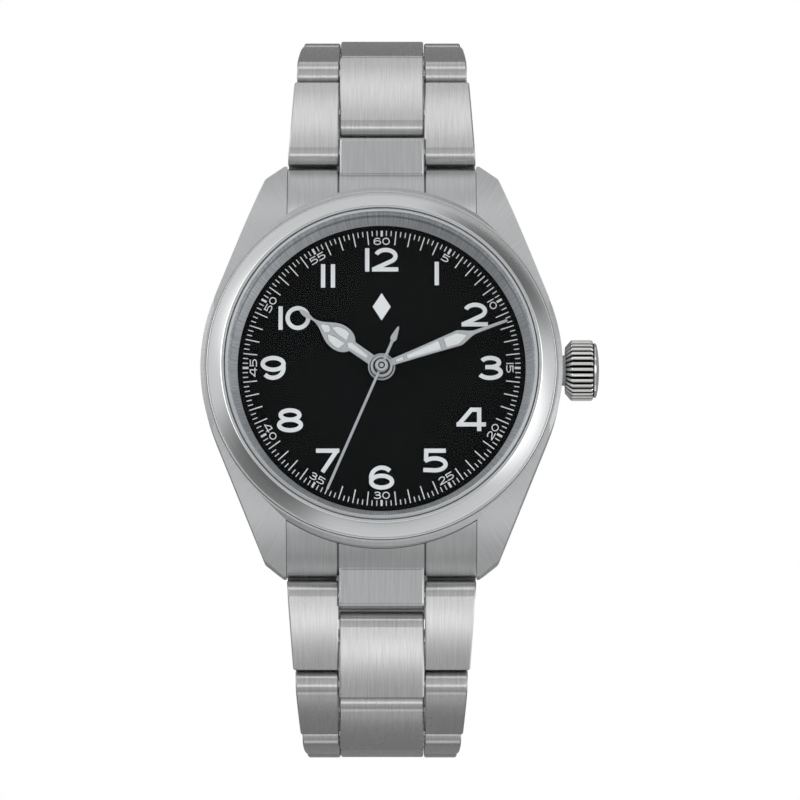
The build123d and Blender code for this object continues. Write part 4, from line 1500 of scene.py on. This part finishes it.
@dataclass
class Studio:
    """Pale floor, soft light from all round and the camera.

    The floor lies low enough for the open clasp to hang clear of it.
    """

    # Height of a direction, from zero at the horizon to one overhead, and its light
    levels: tuple[tuple[float, float], ...] = (
        (0.0, 0.86), (0.45, 0.6), (0.72, 0.48), (0.88, 0.5), (0.98, 0.67),
    )
    darkest: float = 0.06
    boxes: tuple[SoftBox, ...] = (
        SoftBox((0, -0.44, 0.9), 4, 4, 1.45, 4),
        SoftBox((0, -0.946, 0.326), 5, 6, -0.36, 4),
        SoftBox((0, 0.72, 0.69), 6, 6, 1.0, 4),
        SoftBox((0.87, -0.22, 0.4), 22, 12, 1.15),
        SoftBox((-0.8, 0.46, 0.4), 22, 12, 1.05),
        SoftBox((0.8, 0.0, 0.75), 17, 8, 2.2),
        SoftBox((-0.8, 0.1, 0.75), 17, 8, 2.2),
        SoftBox((0.7, 0.7, -0.12), 20, 15, -0.68),
        SoftBox((-0.79, -0.6, 0.08), 20, 15, -0.62),
    )
    tent_radius: float = 1400.0
    tent_rows: int = 48
    tent_top: float = 89.5
    stage_corners: int = 96
    card_radius: float = 480.0
    card_lift: float = 0.2
    floor_level: float = -140.0
    floor_radius: float = 630.0
    # Share of the floor's own white, in which no shadow shows
    floor_glow: float = 0.96
    target: tuple[float, float, float] = (1.93, -3.40, 7.2)
    elevation: float = 82.2
    distance: float = 600.0
    clip_metres: tuple[float, float] = (0.01, 10.0)
    pixels_per_mm: float = 9.526
    frame_pixels: float = 800.0
    sensor_mm: float = 36.0

    def disc(
        self, name: str, radius: float, level: float, material: bpy.types.Material
    ) -> bpy.types.Object:
        """Lay a flat disc of the stage.

        Args:
            name: name of the disc.
            radius: its radius in millimetres.
            level: its height.
            material: its finish.

        Returns:
            The disc.
        """
        turn = np.linspace(0, TURN, self.stage_corners, endpoint=False)
        points = np.column_stack([radius * np.cos(turn), radius * np.sin(turn), 0 * turn + level])
        face = np.arange(self.stage_corners)[None, :]
        disc = to_object(name, points, [face], material, smooth=False)
        return disc

    def floor(self) -> None:
        """Lay white paper under the watch, with a faint shadow."""
        nodes = Nodes("studio_floor_white_paper")
        nodes.fill(nodes.shader, {"Base Color": linear("#F4F4F4"), "Roughness": 0.9})
        seen = nodes.add("LightPath", "Is Camera Ray")
        for kind in ("Is Glossy Ray", "Is Transmission Ray"):
            seen = nodes.math("MAXIMUM", seen, nodes.add("LightPath", kind))
        share = nodes.math("MULTIPLY", seen, self.floor_glow)
        glow = nodes.add("Emission", "Emission", {"Color": WHITE, "Strength": 1.0})
        paper = nodes.shader.outputs["BSDF"]
        lit = nodes.add("MixShader", "Shader", {0: share, 1: paper, 2: glow})
        # Clear from below, so that the back can be looked at
        below = nodes.add("NewGeometry", "Backfacing")
        clear = nodes.add("BsdfTransparent", "BSDF")
        made = nodes.surface(nodes.add("MixShader", "Shader", {0: below, 1: lit, 2: clear}))
        self.disc("studio_floor", self.floor_radius, self.floor_level, made)

    def card(self) -> None:
        """Lay a grey card under the watch, which only the steel sees."""
        nodes = Nodes("studio_card_grey")
        nodes.fill(nodes.shader, {"Base Color": linear("#888888"), "Roughness": 0.9})
        level = self.floor_level + self.card_lift
        card = self.disc("studio_card", self.card_radius, level, nodes.material)
        card.visible_camera = card.visible_diffuse = card.visible_shadow = False

    def tent(self) -> None:
        """Put the watch in a tent of light that the camera looks through.

        The light is a base that changes with the height, plus the soft boxes, some of which are
        flags that take light away.
        """
        nodes = Nodes("studio_tent_lit_cloth")
        place = nodes.vector_math("NORMALIZE", "Vector", nodes.place())
        stops = tuple((height, (light, light, light, 1.0)) for height, light in self.levels)
        total = nodes.ramp(nodes.axes(place)["Z"], stops)
        for box in self.boxes:
            total = nodes.math("ADD", total, box.light(nodes, place))
        bound = nodes.math("MAXIMUM", total, self.darkest)
        glow = nodes.add("Emission", "Emission", {"Strength": bound, "Color": WHITE})
        made = nodes.surface(glow)
        lift = np.radians(np.linspace(-self.tent_top, self.tent_top, self.tent_rows))[:, None]
        turn = np.linspace(0, TURN, self.stage_corners, endpoint=False)
        out = np.cos(lift)
        points = self.tent_radius * np.stack(
            [out * np.cos(turn), out * np.sin(turn), np.sin(lift) + 0 * turn], axis=-1
        )
        faces = grid_faces(self.tent_rows, self.stage_corners, False, True)
        cloth = to_object("studio_tent", points.reshape(-1, 3), [faces], made)
        cloth.visible_camera = False

    def world(self) -> None:
        """Set plain white behind the tent."""
        world = bpy.data.worlds.new("studio_white")
        bpy.context.scene.world = world
        world.use_nodes = True
        world.node_tree.nodes["Background"].inputs["Color"].default_value = WHITE

    def camera(self) -> None:
        """Look down at the dial from 6 o'clock's side, at the photograph's angle and scale."""
        data = bpy.data.cameras.new("studio_camera")
        data.sensor_width = self.sensor_mm
        data.lens = self.pixels_per_mm * self.distance * self.sensor_mm / self.frame_pixels
        data.clip_start, data.clip_end = self.clip_metres
        camera = bpy.data.objects.new("studio_camera", data)
        lift = math.radians(self.elevation)
        back = Vector((0, -math.cos(lift), math.sin(lift)))
        camera.location = (Vector(self.target) + back * self.distance) * MM
        camera.rotation_euler = (-back).to_track_quat("-Z", "Y").to_euler()
        bpy.context.scene.collection.objects.link(camera)
        bpy.context.scene.camera = camera

    def build(self) -> None:
        """Set up the floor, the light and the camera."""
        self.floor()
        self.card()
        self.tent()
        self.world()
        self.camera()
        bpy.context.scene.view_settings.view_transform = "Standard"


def main() -> None:
    """Build the sub-assemblies in order."""
    logging.basicConfig(level=logging.INFO, format="%(name)s: %(message)s")
    for stray in list(bpy.data.objects):
        bpy.data.objects.remove(stray, do_unlink=True)
    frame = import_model()
    finishes = Finishes()
    for kind in (Head, Dial, Hands, Crown, Bracelet):
        assembly = kind(frame, finishes)
        for piece in assembly.build():
            LOG.info("%s: %s, %d faces", kind.__name__, piece.name, len(piece.data.polygons))
    Studio().build()


if __name__ == "__main__":
    main()
